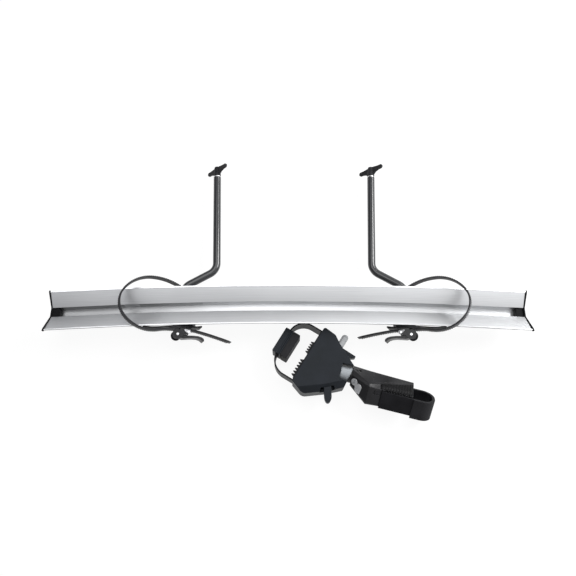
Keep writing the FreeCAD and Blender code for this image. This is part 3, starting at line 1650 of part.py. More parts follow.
def arm_housing():
    """Moulded arm: a neck collar, a flared shoulder with the lock, a ribbed recess and band slots."""
    frame = housing_frame()
    axis = frame.Rotation.multVec(Vector(1, 0, 0))
    whole = fuse("housing_whole", [housing_loft(), housing_collar()])
    socket_length = "Sizes.neck_outset + Sizes.moving_gap"
    socket = cylinder(
        "housing_socket", "Sizes.neck_diameter / 2 + Sizes.fit_gap / 2", socket_length, frame.Base, axis
    )
    tools = [socket]
    slit = size("moving_gap")
    far = 2 * size("housing_front")
    run = "Sizes.housing_end"
    drop = "%.4f" % (far + slit - size("loop_top"))
    front_face = -size("loop_front") + size("loop_thickness") + slit
    step = Vector(size("strand_start") - 2.0, -far, -far)
    tools.append(block("front_step", step, (run, "%.4f" % (far + front_face), drop), frame))
    back_low = size("loop_back") - size("loop_thickness") - slit
    slot = Vector(size("back_strand_start") - 2.0, back_low, -far)
    tools.append(block("back_slot", slot, (run, "Sizes.loop_thickness + 2 * Sizes.moving_gap", drop), frame))
    key_low = Vector(size("key_start") - slit, -far, size("key_top") - size("key_height") - slit)
    key_sides = (
        "Sizes.key_length + 2 * Sizes.moving_gap",
        "%.4f" % (far - size("key_face") + size("key_depth") + size("key_travel")),
        "Sizes.key_height + 2 * Sizes.moving_gap",
    )
    tools.append(block("key_pocket", key_low, key_sides, frame))
    for index in range(5):
        along = size("rib_start") + size("rib_pitch") * index
        sides = ("Sizes.rib_gap", "%.4f" % (far - size("rib_depth")), "%.4f" % far)
        tools.append(block("rib_pocket_%d" % index, Vector(along, -far, -1.0), sides, frame))
    tools.append(panel_shape("panel_seat", size("fit_gap")))
    seat_length = "Sizes.lock_depth + Sizes.lock_diameter"
    tools.append(lock_cylinder("lock_seat", "Sizes.lock_diameter / 2 + Sizes.fit_gap", seat_length, -size("fit_gap")))
    keep(cut("housing_cut", whole, tools), "arm_housing")


def top_frame():
    """Frame on the housing's sloping top face, at the back of the shoulder."""
    run = size("housing_end") - size("housing_shoulder")
    pitch = math.degrees(math.atan2(HOUSING_TOP_FALL, run))
    width = size("housing_front") - 5.0 + size("housing_back")
    lean = math.degrees(math.atan2(HOUSING_RIDGE_FALL, width))
    spot = Vector(size("housing_shoulder"), size("housing_back"), size("housing_top"))
    turn = Rotation(Vector(0, 1, 0), pitch).multiply(Rotation(Vector(1, 0, 0), lean))
    return housing_frame().multiply(Placement(spot, turn))


def panel_shape(name, grow):
    """Rounded three-cornered panel let into the housing's top."""
    body = new_body(name)
    thick = size("panel_thickness")
    first = size("panel_start") - grow
    last = size("panel_start") + size("panel_length") + grow
    high = -size("panel_inset") + grow
    low = -size("panel_inset") - size("panel_width") - grow
    tip = -size("panel_inset") - size("panel_tip") - grow
    drawing = new_sketch(body, "XY_Plane", -thick)
    corners = [(first, (low + high) / 2, 0.0), (first, low, 6.0), (last, tip, 2.5), (last, high, 2.5)]
    draw_rounded(drawing, corners + [(first, high, 6.0)])
    pad(body, drawing, "%.4f" % (thick * (3.0 if grow else 1.0)))
    body.Placement = top_frame()
    return body


def facet_frame(along, height):
    """Frame on the shoulder's slanted front facet, Z pointing out of it."""
    run = size("housing_shoulder") - size("housing_start")
    fall = size("housing_front") - HOUSING_ROOT
    across = -HOUSING_ROOT - (along - size("housing_start")) * fall / run
    turn = math.degrees(math.atan2(fall, run))
    tangent = Rotation(Vector(0, 0, 1), -turn)
    spot = Placement(Vector(along, across, height), tangent)
    upright = Placement(Vector(0, 0, 0), Rotation(Vector(1, 0, 0), 90))
    return housing_frame().multiply(spot).multiply(upright)


def lock_frame():
    return facet_frame(size("lock_along"), size("lock_height"))


def lock_cylinder(name, radius_text, length_text, extra):
    frame = lock_frame()
    axis = frame.Rotation.multVec(Vector(0, 0, 1))
    start = frame.multVec(Vector(0, 0, extra - size("lock_depth")))
    return cylinder(name, radius_text, length_text, start, axis)


def lock_barrel():
    """Round lock with a plain key slot."""
    barrel = lock_cylinder("lock_body", "Sizes.lock_diameter / 2", "Sizes.lock_depth + Sizes.lock_proud", 0.0)
    half = size("lock_diameter") / 3.4
    sides = ("2", "%.4f" % (2 * half), "Sizes.lock_diameter")
    slot = block("key_slot", Vector(-1.0, -half, -1.5), sides, lock_frame())
    keep(cut("lock_cut", barrel, [slot]), "lock_barrel")


def lock_plate():
    """Plain bright plate beside the lock."""
    body = new_body("lock_plate_body")
    drawing = new_sketch(body, "XY_Plane")
    corners = [(0.0, -12.0, 0.0), (7.0, -11.0, 3.0), (8.0, 8.0, 3.0), (-1.0, 10.0, 4.0), (-6.0, -4.0, 4.0)]
    draw_rounded(drawing, corners)
    pad(body, drawing, "Sizes.plate_thickness")
    body.Placement = facet_frame(size("plate_along"), size("plate_height"))
    keep(body, "lock_plate")


def band_loop(name, front, back, end, start_front, start_back, thick, radius, low, high):
    """U-shaped strip from the front wall round the loop's end to the back wall."""
    body = new_body(name)
    drawing = new_sketch(body, "XY_Plane", -low)
    corners = [
        (start_front, -front, 0.0),
        (end, -front, radius),
        (end, back, radius),
        (start_back, back, 0.0),
        (start_back, back - thick, 0.0),
        (end - thick, back - thick, radius - thick),
        (end - thick, thick - front, radius - thick),
        (start_front, thick - front, 0.0),
    ]
    draw_rounded(drawing, corners)
    pad(body, drawing, "%.4f" % (low - high))
    body.Placement = housing_frame()
    return body


def loop_parts():
    front = size("loop_front")
    back = size("loop_back")
    end = size("loop_end")
    low = size("loop_base")
    high = size("loop_top")
    thick = size("loop_thickness")
    radius = size("loop_corner")
    strands = (size("strand_start"), size("back_strand_start"))
    keep(band_loop("loop_body", front, back, end, *strands, thick, radius, low, high), "loop_band")
    cover = size("sleeve_thickness")
    gap = size("moving_gap") / 3
    shell = cover + gap
    start = size("sleeve_start")
    base = size("sleeve_base")
    outer = (front + shell, back + shell, end + shell, start, start)
    sleeve = band_loop("sleeve_body", *outer, cover, radius + shell, base, high)
    keep(sleeve, "loop_sleeve")


def band_release():
    """Sprung key in the housing's front pocket that frees the band."""
    low = Vector(size("key_start"), -size("key_face"), size("key_top") - size("key_height"))
    key = block("release_key", low, ("Sizes.key_length", "Sizes.key_depth", "Sizes.key_height"), housing_frame())
    keep(key, "band_release")


def frame_clamp():
    jaw_shells()
    jaw_grip()
    tension_band()
    clamp_pad()
    jaw_pins()
    jaw_screws()
    tension_lever()
    release_lever()
    release_button()
    arm_neck()
    arm_housing()
    keep(panel_shape("panel_body", 0.0), "top_panel")
    lock_barrel()
    lock_plate()
    loop_parts()
    band_release()


tray_rail()
for side, hand in SIDES:
    end_cap(side, "end_cap_" + hand)
    carriage(side, hand)
frame_clamp()

doc.recompute()

os.makedirs("parts", exist_ok=True)
for item in doc.Objects:
    if "Invalid" in item.State or "Error" in item.State:
        raise RuntimeError("%s failed: %s" % (item.Name, item.State))
for item in NODES:
    if item.Shape.isNull() or not item.Shape.isValid() or not item.Shape.Solids:
        raise RuntimeError("%s has no valid solid" % item.Label)
for item in NODES:
    item.Shape.exportStep("parts/%s.step" % item.Label)
    print("%-24s solids %d volume %.0f" % (item.Label, len(item.Shape.Solids), item.Shape.Volume))
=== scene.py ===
import json
import math

import bmesh
import bpy
from mathutils import Matrix, Vector


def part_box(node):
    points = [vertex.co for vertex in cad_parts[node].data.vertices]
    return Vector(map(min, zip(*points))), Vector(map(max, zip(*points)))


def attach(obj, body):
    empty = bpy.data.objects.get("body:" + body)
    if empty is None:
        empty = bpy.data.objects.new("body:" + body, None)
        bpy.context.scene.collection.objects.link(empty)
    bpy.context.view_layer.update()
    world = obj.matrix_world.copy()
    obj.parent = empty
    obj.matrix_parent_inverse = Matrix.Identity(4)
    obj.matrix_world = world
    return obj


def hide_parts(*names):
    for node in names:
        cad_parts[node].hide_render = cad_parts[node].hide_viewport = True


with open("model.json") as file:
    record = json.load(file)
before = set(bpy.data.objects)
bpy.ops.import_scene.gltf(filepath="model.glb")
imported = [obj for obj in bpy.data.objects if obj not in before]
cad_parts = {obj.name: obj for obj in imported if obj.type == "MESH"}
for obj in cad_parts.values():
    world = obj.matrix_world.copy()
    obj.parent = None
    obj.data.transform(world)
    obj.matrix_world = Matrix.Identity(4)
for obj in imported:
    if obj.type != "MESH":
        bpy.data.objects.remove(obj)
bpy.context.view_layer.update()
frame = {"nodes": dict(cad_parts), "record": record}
nodes = frame["nodes"]
behaviour = frame["record"]["behaviour"]
scene = bpy.context.scene

# Lengths are written in millimetres and made metres by MM, unless a heading says metres
MM = 0.001
SIDE_OF = {"left": -1, "right": 1}
BODY_OF = {node: body for body, members in behaviour["bodies"].items() for node in members}
SLOT_OF = {part["node"]: part["material_slot"] for part in frame["record"]["subparts"]}


# Shader helpers

UNIT = (0.0, 1.0)
FALLING = (1.0, 0.0)
NOISE_BAND = (0.35, 0.65)
NOISE_REACH = (0.3, 0.7)
MIX_MASK = 0
MIX_FIRST = 6
MIX_SECOND = 7
MIX_RESULT = 2


def feed(tree, node, inputs):
    """Feed a node's inputs by label or place: sockets are linked, and numbers, vectors and colours set."""
    for label, source in inputs.items():
        target = node.inputs[label]
        if isinstance(source, bpy.types.NodeSocket):
            tree.links.new(source, target)
        elif target.type == "RGBA":
            target.default_value = (*source, 1.0)
        else:
            target.default_value = source


def node_in(tree, kind, inputs=None, **settings):
    """New node with its settings and what feeds its inputs."""
    made = tree.nodes.new(kind)
    for key, setting in settings.items():
        setattr(made, key, setting)
    feed(tree, made, inputs or {})
    return made


def math_in(tree, operation, first, second=0.0):
    """Result of one Math node over sockets or numbers."""
    return node_in(tree, "ShaderNodeMath", {0: first, 1: second}, operation=operation).outputs["Value"]


def vector_in(tree, operation, inputs, result="Vector"):
    """Result of one Vector Math node."""
    return node_in(tree, "ShaderNodeVectorMath", inputs, operation=operation).outputs[result]


def map_range(tree, source, span, result):
    """A value with its span spread over the result's, and held at both ends."""
    inputs = {"Value": source}
    inputs.update({"From Min": span[0], "From Max": span[1]})
    inputs.update({"To Min": result[0], "To Max": result[1]})
    return node_in(tree, "ShaderNodeMapRange", inputs).outputs["Result"]


def noise_in(tree, place, scale, detail):
    """Noise over a place, with a scale that is a socket or a number."""
    inputs = {"Vector": place, "Scale": scale, "Detail": detail}
    return node_in(tree, "ShaderNodeTexNoise", inputs).outputs["Fac"]


def blend_colours(tree, mask, first, second):
    """Mix of two colours, each a socket or its red, green and blue."""
    inputs = {MIX_MASK: mask, MIX_FIRST: first, MIX_SECOND: second}
    return node_in(tree, "ShaderNodeMix", inputs, data_type="RGBA").outputs[MIX_RESULT]


def new_group(name, inputs, outputs):
    """Node group with (socket type, name, default) inputs and (socket type, name) outputs."""
    group = bpy.data.node_groups.new(name, "ShaderNodeTree")
    for kind, label, default in inputs:
        socket = group.interface.new_socket(label, in_out="INPUT", socket_type=kind)
        socket.default_value = default
    for kind, label in outputs:
        group.interface.new_socket(label, in_out="OUTPUT", socket_type=kind)
    return group, node_in(group, "NodeGroupInput"), node_in(group, "NodeGroupOutput")


# Surface effects that several finishes share

GRAIN_SCALE = 1400.0
DRIFT_SCALE = 24.0
EDGE_RADIUS = 0.6
EDGE_SAMPLES = 6
EDGE_MATCH = (0.98, 0.80)
LINE_FINENESS = 900.0
LINE_STRETCH = (0.004, 1.0, 1.0)
CLOUD_SCALE = 9.0


def moulded_group():
    """Fine spark-eroded grain with slow drifts in tone, as on moulded plastic and rubber."""
    group, start, end = new_group(
        "moulded_grain",
        [("NodeSocketFloat", "Grain scale", GRAIN_SCALE), ("NodeSocketFloat", "Drift scale", DRIFT_SCALE)],
        [("NodeSocketFloat", "Drift"), ("NodeSocketFloat", "Height")],
    )
    place = node_in(group, "ShaderNodeTexCoord").outputs["Object"]
    grain = noise_in(group, place, start.outputs["Grain scale"], detail=2.0)
    drift = noise_in(group, place, start.outputs["Drift scale"], detail=4.0)
    feed(group, end, {"Drift": drift, "Height": grain})
    return group


def edge_group():
    """Rounded-off normal at hard edges, and a mask that is 1 along them."""
    group, start, end = new_group(
        "worn_edge",
        [("NodeSocketFloat", "Radius", EDGE_RADIUS * MM)],
        [("NodeSocketVector", "Normal"), ("NodeSocketFloat", "Edge")],
    )
    rounded = node_in(group, "ShaderNodeBevel", {"Radius": start.outputs["Radius"]}, samples=EDGE_SAMPLES)
    soft = rounded.outputs["Normal"]
    plain = node_in(group, "ShaderNodeNewGeometry").outputs["Normal"]
    match = vector_in(group, "DOT_PRODUCT", {0: soft, 1: plain}, "Value")
    feed(group, end, {"Normal": soft, "Edge": map_range(group, match, EDGE_MATCH, UNIT)})
    return group


def drawn_group():
    """Long fine die lines along the X axis, as on extruded or drawn metal, and clouds in its sheen."""
    group, start, end = new_group(
        "drawn_lines",
        [("NodeSocketFloat", "Fineness", LINE_FINENESS)],
        [("NodeSocketFloat", "Lines"), ("NodeSocketFloat", "Clouds")],
    )
    place = node_in(group, "ShaderNodeTexCoord").outputs["Object"]
    stretched = node_in(group, "ShaderNodeMapping", {"Vector": place, "Scale": LINE_STRETCH})
    lines = noise_in(group, stretched.outputs["Vector"], start.outputs["Fineness"], detail=3.0)
    clouds = noise_in(group, place, CLOUD_SCALE, detail=3.0)
    feed(group, end, {"Lines": lines, "Clouds": clouds})
    return group


MOULDED = moulded_group()
EDGE = edge_group()
DRAWN = drawn_group()


# Finishes: a relief is a bump's strength and its depth in metres

WORN_GAIN = 2.2
WORN_LIFT = 0.012
PLASTIC_SPREAD = 0.05
PLASTIC_COAT_ROUGH = 0.12
PLASTIC_RELIEF = (0.5, 0.00005)
METAL_EDGE = 0.5
METAL_SPREAD = 0.04
METAL_DEPTH = 0.00004
PAINT_SCALES = {"Grain scale": 420.0, "Drift scale": 9.0}
PAINT_EDGE = 0.4
PAINT_SPREAD = 0.04
PAINT_RELIEF = (0.35, 0.00006)


def placed(tree, group, inputs):
    """Outputs of a node group that is placed in a material with its own values."""
    return node_in(tree, "ShaderNodeGroup", inputs, node_tree=group).outputs


def relief(tree, height, normal, strength, depth):
    """Normal with a fine relief, its depth in metres."""
    inputs = {"Height": height, "Normal": normal, "Strength": strength, "Distance": depth}
    return node_in(tree, "ShaderNodeBump", inputs).outputs["Normal"]


def around(middle, spread):
    """Span that reaches the spread to each side of a middle value."""
    return middle - spread, middle + spread


def plain_material(name):
    """New material with its node tree and its Principled shader."""
    material = bpy.data.materials.new(name)
    material.use_nodes = True
    tree = material.node_tree
    return material, tree, tree.nodes["Principled BSDF"]


def plastic(name, dark, pale, rough, scale=GRAIN_SCALE, wear=0.25, radius=0.7, coat=0.0, specular=0.16):
    """Moulded plastic or rubber: tone drift, fine grain, softened and slightly polished edges."""
    material, tree, shader = plain_material(name)
    texture = placed(tree, MOULDED, {"Grain scale": scale})
    edge = placed(tree, EDGE, {"Radius": radius * MM})
    body = blend_colours(tree, map_range(tree, texture["Drift"], NOISE_BAND, UNIT), dark, pale)
    worn = tuple(min(1.0, channel * WORN_GAIN + WORN_LIFT) for channel in pale)
    rubbed = math_in(tree, "MULTIPLY", edge["Edge"], wear)
    inputs = {
        "Base Color": blend_colours(tree, rubbed, body, worn),
        "Roughness": map_range(tree, texture["Drift"], NOISE_REACH, around(rough, PLASTIC_SPREAD)),
        "Normal": relief(tree, texture["Height"], edge["Normal"], *PLASTIC_RELIEF),
        "Specular IOR Level": specular,
        "Coat Weight": coat,
        "Coat Roughness": PLASTIC_COAT_ROUGH,
    }
    feed(tree, shader, inputs)
    return material


def metal(name, dark, pale, rough, strength=0.4):
    """Bare metal with die lines along the part and cloudy differences in sheen."""
    material, tree, shader = plain_material(name)
    texture = placed(tree, DRAWN, {"Fineness": LINE_FINENESS})
    edge = placed(tree, EDGE, {"Radius": METAL_EDGE * MM})
    tone = map_range(tree, texture["Lines"], NOISE_REACH, UNIT)
    inputs = {
        "Metallic": 1.0,
        "Base Color": blend_colours(tree, tone, dark, pale),
        "Roughness": map_range(tree, texture["Clouds"], NOISE_REACH, around(rough, METAL_SPREAD)),
        "Normal": relief(tree, texture["Lines"], edge["Normal"], strength, METAL_DEPTH),
    }
    feed(tree, shader, inputs)
    return material


def painted(name, dark, pale, rough, coat, coat_rough=0.2, specular=0.2):
    """Powder coat on steel: slight orange peel under a thin gloss."""
    material, tree, shader = plain_material(name)
    texture = placed(tree, MOULDED, PAINT_SCALES)
    edge = placed(tree, EDGE, {"Radius": PAINT_EDGE * MM})
    drift = map_range(tree, texture["Drift"], NOISE_BAND, UNIT)
    inputs = {
        "Base Color": blend_colours(tree, drift, dark, pale),
        "Roughness": map_range(tree, texture["Height"], NOISE_REACH, around(rough, PAINT_SPREAD)),
        "Normal": relief(tree, texture["Height"], edge["Normal"], *PAINT_RELIEF),
        "Specular IOR Level": specular,
        "Coat Weight": coat,
        "Coat Roughness": coat_rough,
    }
    feed(tree, shader, inputs)
    return material


# The tray's metal, with painted light and shade: places along it and its bend's radius in metres, places
# across it in millimetres

TRAY_BEND = 9.0
# Painted light and shade, as a factor on the metal's colour at places across the section: highlights on the
# far lip, the flanges' outer edges and the channel floor's far side, shade at the knees, the channel's near
# side and the near lip's outer face
SECTION_LIGHT_AND_SHADE = (
    (-61.0, 0.40),
    (-44.4, 0.40),
    (-43.9, 0.86),
    (-42.2, 0.86),
    (-41.4, 1.20),
    (-12.0, 0.78),
    (-10.6, 0.68),
    (-10.3, 0.66),
    (0.0, 0.80),
    (10.3, 1.25),
    (10.6, 0.92),
    (41.4, 1.18),
    (42.2, 1.34),
    (61.0, 1.34),
)
# Painted shade on upright faces, such as the channel's walls
WALL_TILT = (0.15, 0.5)
WALL_SHADE = 0.60
# Painted shade on the near flange towards the right end
END_SPAN = (0.20, 0.46)
END_SIDE = (-14.0, -10.0)
END_SHADE = 0.72
# Painted shade on the channel's floor towards the left end
CHANNEL_HALF = 10.3
CHANNEL_SPAN = (-0.32, -0.03)
CHANNEL_SHADE = 0.46


def from_bend(across):
    """Distance from the middle of the tray's bend, in metres, of a place across the tray."""
    return TRAY_BEND + across * MM


def bend_reach(tree, place):
    """Each point's level distance from the middle of the tray's bend."""
    centred = vector_in(tree, "ADD", {0: place, 1: (0.0, TRAY_BEND, 0.0)})
    level = vector_in(tree, "MULTIPLY", {0: centred, 1: (1.0, 1.0, 0.0)})
    return vector_in(tree, "LENGTH", {0: level}, "Value")


def painted_section_light(tree, reach):
    """Painted highlights and shade across the tray's section, from its near lip to its far one."""
    low = SECTION_LIGHT_AND_SHADE[0][0]
    high = SECTION_LIGHT_AND_SHADE[-1][0]
    across = map_range(tree, reach, (from_bend(low), from_bend(high)), UNIT)
    ramp = node_in(tree, "ShaderNodeValToRGB", {"Fac": across})
    stops = ramp.color_ramp.elements
    while len(stops) < len(SECTION_LIGHT_AND_SHADE):
        stops.new(0.5)
    for index, (spot, tone) in enumerate(SECTION_LIGHT_AND_SHADE):
        stops[index].position = (spot - low) / (high - low)
        stops[index].color = (tone, tone, tone, 1.0)
    return ramp.outputs["Color"]


def painted_wall_shade(tree, normal):
    """Painted shade: darker where a face stands upright, as on the channel's walls."""
    turned = node_in(tree, "ShaderNodeSeparateXYZ", {"Vector": normal})
    level = math_in(tree, "ABSOLUTE", turned.outputs["Z"])
    return map_range(tree, level, WALL_TILT, (WALL_SHADE, 1.0))


def painted_end_shade(tree, along, reach):
    """Painted shade: darker on the near side towards the right end."""
    side = (from_bend(END_SIDE[0]), from_bend(END_SIDE[1]))
    mask = math_in(
        tree,
        "MULTIPLY",
        map_range(tree, along, END_SPAN, UNIT),
        map_range(tree, reach, side, FALLING),
    )
    return map_range(tree, mask, UNIT, (1.0, END_SHADE))


def painted_channel_shade(tree, along, reach):
    """Painted shade: darker on the channel's floor towards the left end."""
    floor = node_in(tree, "ShaderNodeMath", operation="COMPARE")
    feed(tree, floor, {0: reach, 1: TRAY_BEND, 2: CHANNEL_HALF * MM})
    left = map_range(tree, along, CHANNEL_SPAN, (CHANNEL_SHADE, 0.0))
    mask = math_in(tree, "MULTIPLY", left, floor.outputs["Value"])
    return map_range(tree, mask, UNIT, FALLING)


def tray_metal(name, dark, pale, rough):
    """Extruded aluminium with painted highlights and shade across its section, and painted shade on its
    upright walls, its near right end and its channel's left end.
    """
    material = metal(name, dark, pale, rough)
    tree = material.node_tree
    shader = tree.nodes["Principled BSDF"]
    body = shader.inputs["Base Color"].links[0].from_socket
    place = node_in(tree, "ShaderNodeTexCoord").outputs
    along = node_in(tree, "ShaderNodeSeparateXYZ", {"Vector": place["Object"]}).outputs["X"]
    reach = bend_reach(tree, place["Object"])
    # Painted light and shade, multiplied into the metal's colour
    lengthwise_shade = math_in(tree, "MULTIPLY", painted_end_shade(tree, along, reach), painted_channel_shade(tree, along, reach))
    shade = math_in(tree, "MULTIPLY", painted_wall_shade(tree, place["Normal"]), lengthwise_shade)
    section_lit = vector_in(tree, "MULTIPLY", {0: body, 1: painted_section_light(tree, reach)})
    feed(tree, shader, {"Base Color": vector_in(tree, "SCALE", {0: section_lit, "Scale": shade})})
    return material


FINISHES = {
    "tray_aluminium": tray_metal("tray_aluminium", (0.66, 0.67, 0.685), (0.73, 0.74, 0.755), 0.34),
    "cap_plastic": plastic("cap_plastic", (0.004, 0.004, 0.0045), (0.008, 0.008, 0.009), 0.5, specular=0.06),
    "bar_paint": painted(
        "bar_paint",
        (0.014, 0.015, 0.017),
        (0.022, 0.023, 0.026),
        0.4,
        coat=1.0,
        coat_rough=0.07,
        specular=0.1,
    ),
    "saddle_plastic": plastic("saddle_plastic", (0.013, 0.013, 0.015), (0.022, 0.022, 0.025), 0.48),
    "knob_plastic": plastic("knob_plastic", (0.012, 0.012, 0.014), (0.024, 0.024, 0.027), 0.5, wear=0.35),
    "bright_zinc": metal("bright_zinc", (0.60, 0.61, 0.62), (0.78, 0.78, 0.79), 0.2, strength=0.1),
    "strap_plastic": plastic(
        "strap_plastic", (0.012, 0.012, 0.014), (0.022, 0.022, 0.025), 0.42, wear=0.4, radius=0.4
    ),
    "buckle_plastic": plastic(
        "buckle_plastic", (0.010, 0.010, 0.011), (0.018, 0.018, 0.020), 0.24, wear=0.3, coat=0.25
    ),
    "buckle_steel": painted("buckle_steel", (0.024, 0.025, 0.028), (0.045, 0.046, 0.050), 0.3, coat=0.25),
    "jaw_plastic": plastic(
        "jaw_plastic", (0.006, 0.0085, 0.012), (0.011, 0.014, 0.019), 0.46, wear=0.3, radius=1.6
    ),
    "grip_rubber": plastic("grip_rubber", (0.008, 0.008, 0.009), (0.016, 0.016, 0.018), 0.62, scale=900.0),
    "band_plastic": plastic(
        "band_plastic", (0.006, 0.006, 0.007), (0.012, 0.012, 0.014), 0.42, radius=0.5, specular=0.1
    ),
    "button_plastic": plastic("button_plastic", (0.30, 0.31, 0.32), (0.40, 0.41, 0.42), 0.3, wear=0.1),
    "neck_aluminium": painted("neck_aluminium", (0.26, 0.28, 0.30), (0.31, 0.33, 0.35), 0.42, coat=0.1),
    "housing_plastic": plastic(
        "housing_plastic",
        (0.008, 0.008, 0.009),
        (0.015, 0.015, 0.017),
        0.36,
        wear=0.5,
        radius=1.6,
        specular=0.24,
    ),
    "lock_metal": metal("lock_metal", (0.50, 0.51, 0.52), (0.80, 0.81, 0.82), 0.3, strength=0.1),
}
CATCH_STEEL = metal("catch_steel", (0.22, 0.22, 0.23), (0.32, 0.32, 0.33), 0.38, strength=0.1)
# Black darker than the housing's: black plastic with painted shade for the ribbed recess
RECESS_SHADE_BLACK = plastic("recess_shade_black", (0.003, 0.003, 0.003), (0.006, 0.006, 0.007), 0.5, specular=0.12)

for node, slot in SLOT_OF.items():
    nodes[node].data.materials.clear()
    nodes[node].data.materials.append(FINISHES[slot])


# Making pieces

SMOOTH_BELOW = math.radians(31.0)
FLAT_BELOW = math.radians(0.6)
SOLID_MERGE = 0.002
SHAPE_MERGE = 0.01
SOLID_SEGMENTS = 2
SHAPE_SEGMENTS = 3


def merged_copy(node):
    """Copy of a node's triangles, in metres, with their corners joined."""
    shape = bmesh.new()
    shape.from_mesh(nodes[node].data)
    bmesh.ops.remove_doubles(shape, verts=shape.verts[:], dist=SOLID_MERGE * MM)
    return shape


def roll_edges(shape, width, segments):
    """Roll off the hard edges by a width in the shape's own unit."""
    hard = [edge for edge in shape.edges if edge.is_manifold and edge.calc_face_angle() > SMOOTH_BELOW]
    bmesh.ops.bevel(
        shape,
        geom=hard,
        offset=width,
        offset_type="OFFSET",
        segments=segments,
        affect="EDGES",
        profile=0.5,
        material=-1,
        clamp_overlap=True,
    )


def shade_smooth(shape):
    """Smooth shading that stops at the edges that are still hard."""
    for face in shape.faces:
        face.smooth = True
    for edge in shape.edges:
        edge.smooth = not edge.is_manifold or edge.calc_face_angle() < SMOOTH_BELOW


def new_object(shape, name):
    """Object with a bmesh as its mesh; the bmesh is freed."""
    mesh = bpy.data.meshes.new(name)
    shape.to_mesh(mesh)
    shape.free()
    made = bpy.data.objects.new(name, mesh)
    scene.collection.objects.link(made)
    return made


def show_for(node, piece, slot=None, finish=None):
    """Let a piece stand for a node, on its body, with the finish of a slot or one of its own."""
    slot = slot or SLOT_OF[node]
    piece.data.materials.append(finish or FINISHES[slot])
    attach(piece, BODY_OF[node])
    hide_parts(node)


def even_shading(piece):
    """Shade by the larger faces, so that rolled edges leave the flats beside them even."""
    weighted = piece.modifiers.new("even_shading", "WEIGHTED_NORMAL")
    weighted.keep_sharp = True


def softened(node, width):
    """Copy of a node with its hard edges rolled off by about width millimetres, smoothly shaded."""
    shape = merged_copy(node)
    bmesh.ops.dissolve_limit(shape, angle_limit=FLAT_BELOW, verts=shape.verts[:], edges=shape.edges[:])
    if width:
        roll_edges(shape, width * MM, SOLID_SEGMENTS)
    shade_smooth(shape)
    piece = new_object(shape, node + "_soft")
    even_shading(piece)
    show_for(node, piece)
    return piece


def finished(shape, name, node, place, slot=None, finish=None, edge=0.0):
    """Piece from a bmesh made in millimetres: edges rolled off, put in its place, smoothly shaded."""
    bmesh.ops.remove_doubles(shape, verts=shape.verts[:], dist=SHAPE_MERGE)
    bmesh.ops.recalc_face_normals(shape, faces=shape.faces[:])
    if edge:
        roll_edges(shape, edge, SHAPE_SEGMENTS)
    shade_smooth(shape)
    bmesh.ops.transform(shape, matrix=place @ Matrix.Scale(MM, 4), verts=shape.verts[:])
    piece = new_object(shape, name)
    even_shading(piece)
    show_for(node, piece, slot, finish)
    return piece


def slab(shape, outline, low, high):
    """Raise a closed outline of (x, y) points between two heights."""
    rim = [shape.verts.new((x, y, low)) for x, y in outline]
    face = shape.faces.new(rim)
    raised = bmesh.ops.extrude_face_region(shape, geom=[face])
    tops = [item for item in raised["geom"] if isinstance(item, bmesh.types.BMVert)]
    bmesh.ops.translate(shape, vec=(0.0, 0.0, high - low), verts=tops)


def arc_points(centre, radius, span, count):
    """Points on an arc between two angles in degrees."""
    first, last = span
    steps = [math.radians(first + (last - first) * index / (count - 1)) for index in range(count)]
    return [(centre[0] + radius * math.cos(step), centre[1] + radius * math.sin(step)) for step in steps]


# Softened copies of the solids that show, with the widths of their rolled edges in millimetres

SOFT_EDGES = {
    "jaw_shell_lower": 1.4,
    "jaw_shell_upper": 1.4,
    "pad_shoe": 1.4,
    "pad_rubber": 1.0,
    "release_lever": 0.8,
    "release_button": 0.0,
    "arm_housing": 1.2,
    "top_panel": 0.4,
    "loop_band": 0.5,
    "loop_sleeve": 0.7,
    "tension_band": 0.5,
    "band_release": 0.8,
    "lock_barrel": 0.4,
    "tray_rail": 0.35,
    "end_cap_left": 0.6,
    "end_cap_right": 0.6,
}
PAIRED_SOFT_EDGES = {
    "bar_tube_": 0.3,
    "bar_plug_": 0.6,
    "clamp_washer_": 0.4,
    "tray_saddle_": 0.9,
    "foot_saddle_": 0.9,
    "saddle_bolts_": 0.3,
    "strap_pin_": 0.3,
    "buckle_base_": 0.6,
    "buckle_pins_": 0.4,
}

for node, width in SOFT_EDGES.items():
    softened(node, width)
for hand in SIDE_OF:
    for stem, width in PAIRED_SOFT_EDGES.items():
        softened(stem + hand, width)


# Wheel straps, each in a plane of its own that leans outwards from the bent tray

STRAP_TILT = math.radians(22.0)
STRAP_ORIGIN = Vector((42.5, 0.0, 62.0)) * MM
STRAP_EDGE = 0.2
CARRIAGE_REACH = {"left": -243.5, "right": 272.5}
TAIL_START = 20.0
TAIL_BELOW = -45.0
TAIL_RAISE = {"left": 0.0, "right": 0.12}


def strap_plane(hand):
    """Place of a strap's own plane: X runs outwards and up, Y across the tray."""
    side = SIDE_OF[hand]
    turn = CARRIAGE_REACH[hand] * MM / TRAY_BEND
    station = Matrix.Translation((TRAY_BEND * math.sin(turn), TRAY_BEND * math.cos(turn) - TRAY_BEND, 0.0))
    station @= Matrix.Rotation(-turn, 4, "Z")
    tilt = -STRAP_TILT if side > 0 else STRAP_TILT - math.pi
    inset = Matrix.Translation((-side * STRAP_ORIGIN.x, 0.0, STRAP_ORIGIN.z))
    return station @ inset @ Matrix.Rotation(tilt, 4, "Y")


def level_strap(hand):
    """The strap, with its free end held up by the share that its hand gives."""
    piece = softened("ladder_strap_" + hand, STRAP_EDGE)
    place = strap_plane(hand)
    flat = place.inverted()
    for point in piece.data.vertices:
        spot = flat @ point.co
        past = TAIL_START * MM - spot.x
        if past > 0.0 and spot.y < TAIL_BELOW * MM:
            spot.y += TAIL_RAISE[hand] * past
            point.co = place @ spot


# Buckles: slim cheeks round the drum, a floor under the strap, a bright catch and a thin curved lever

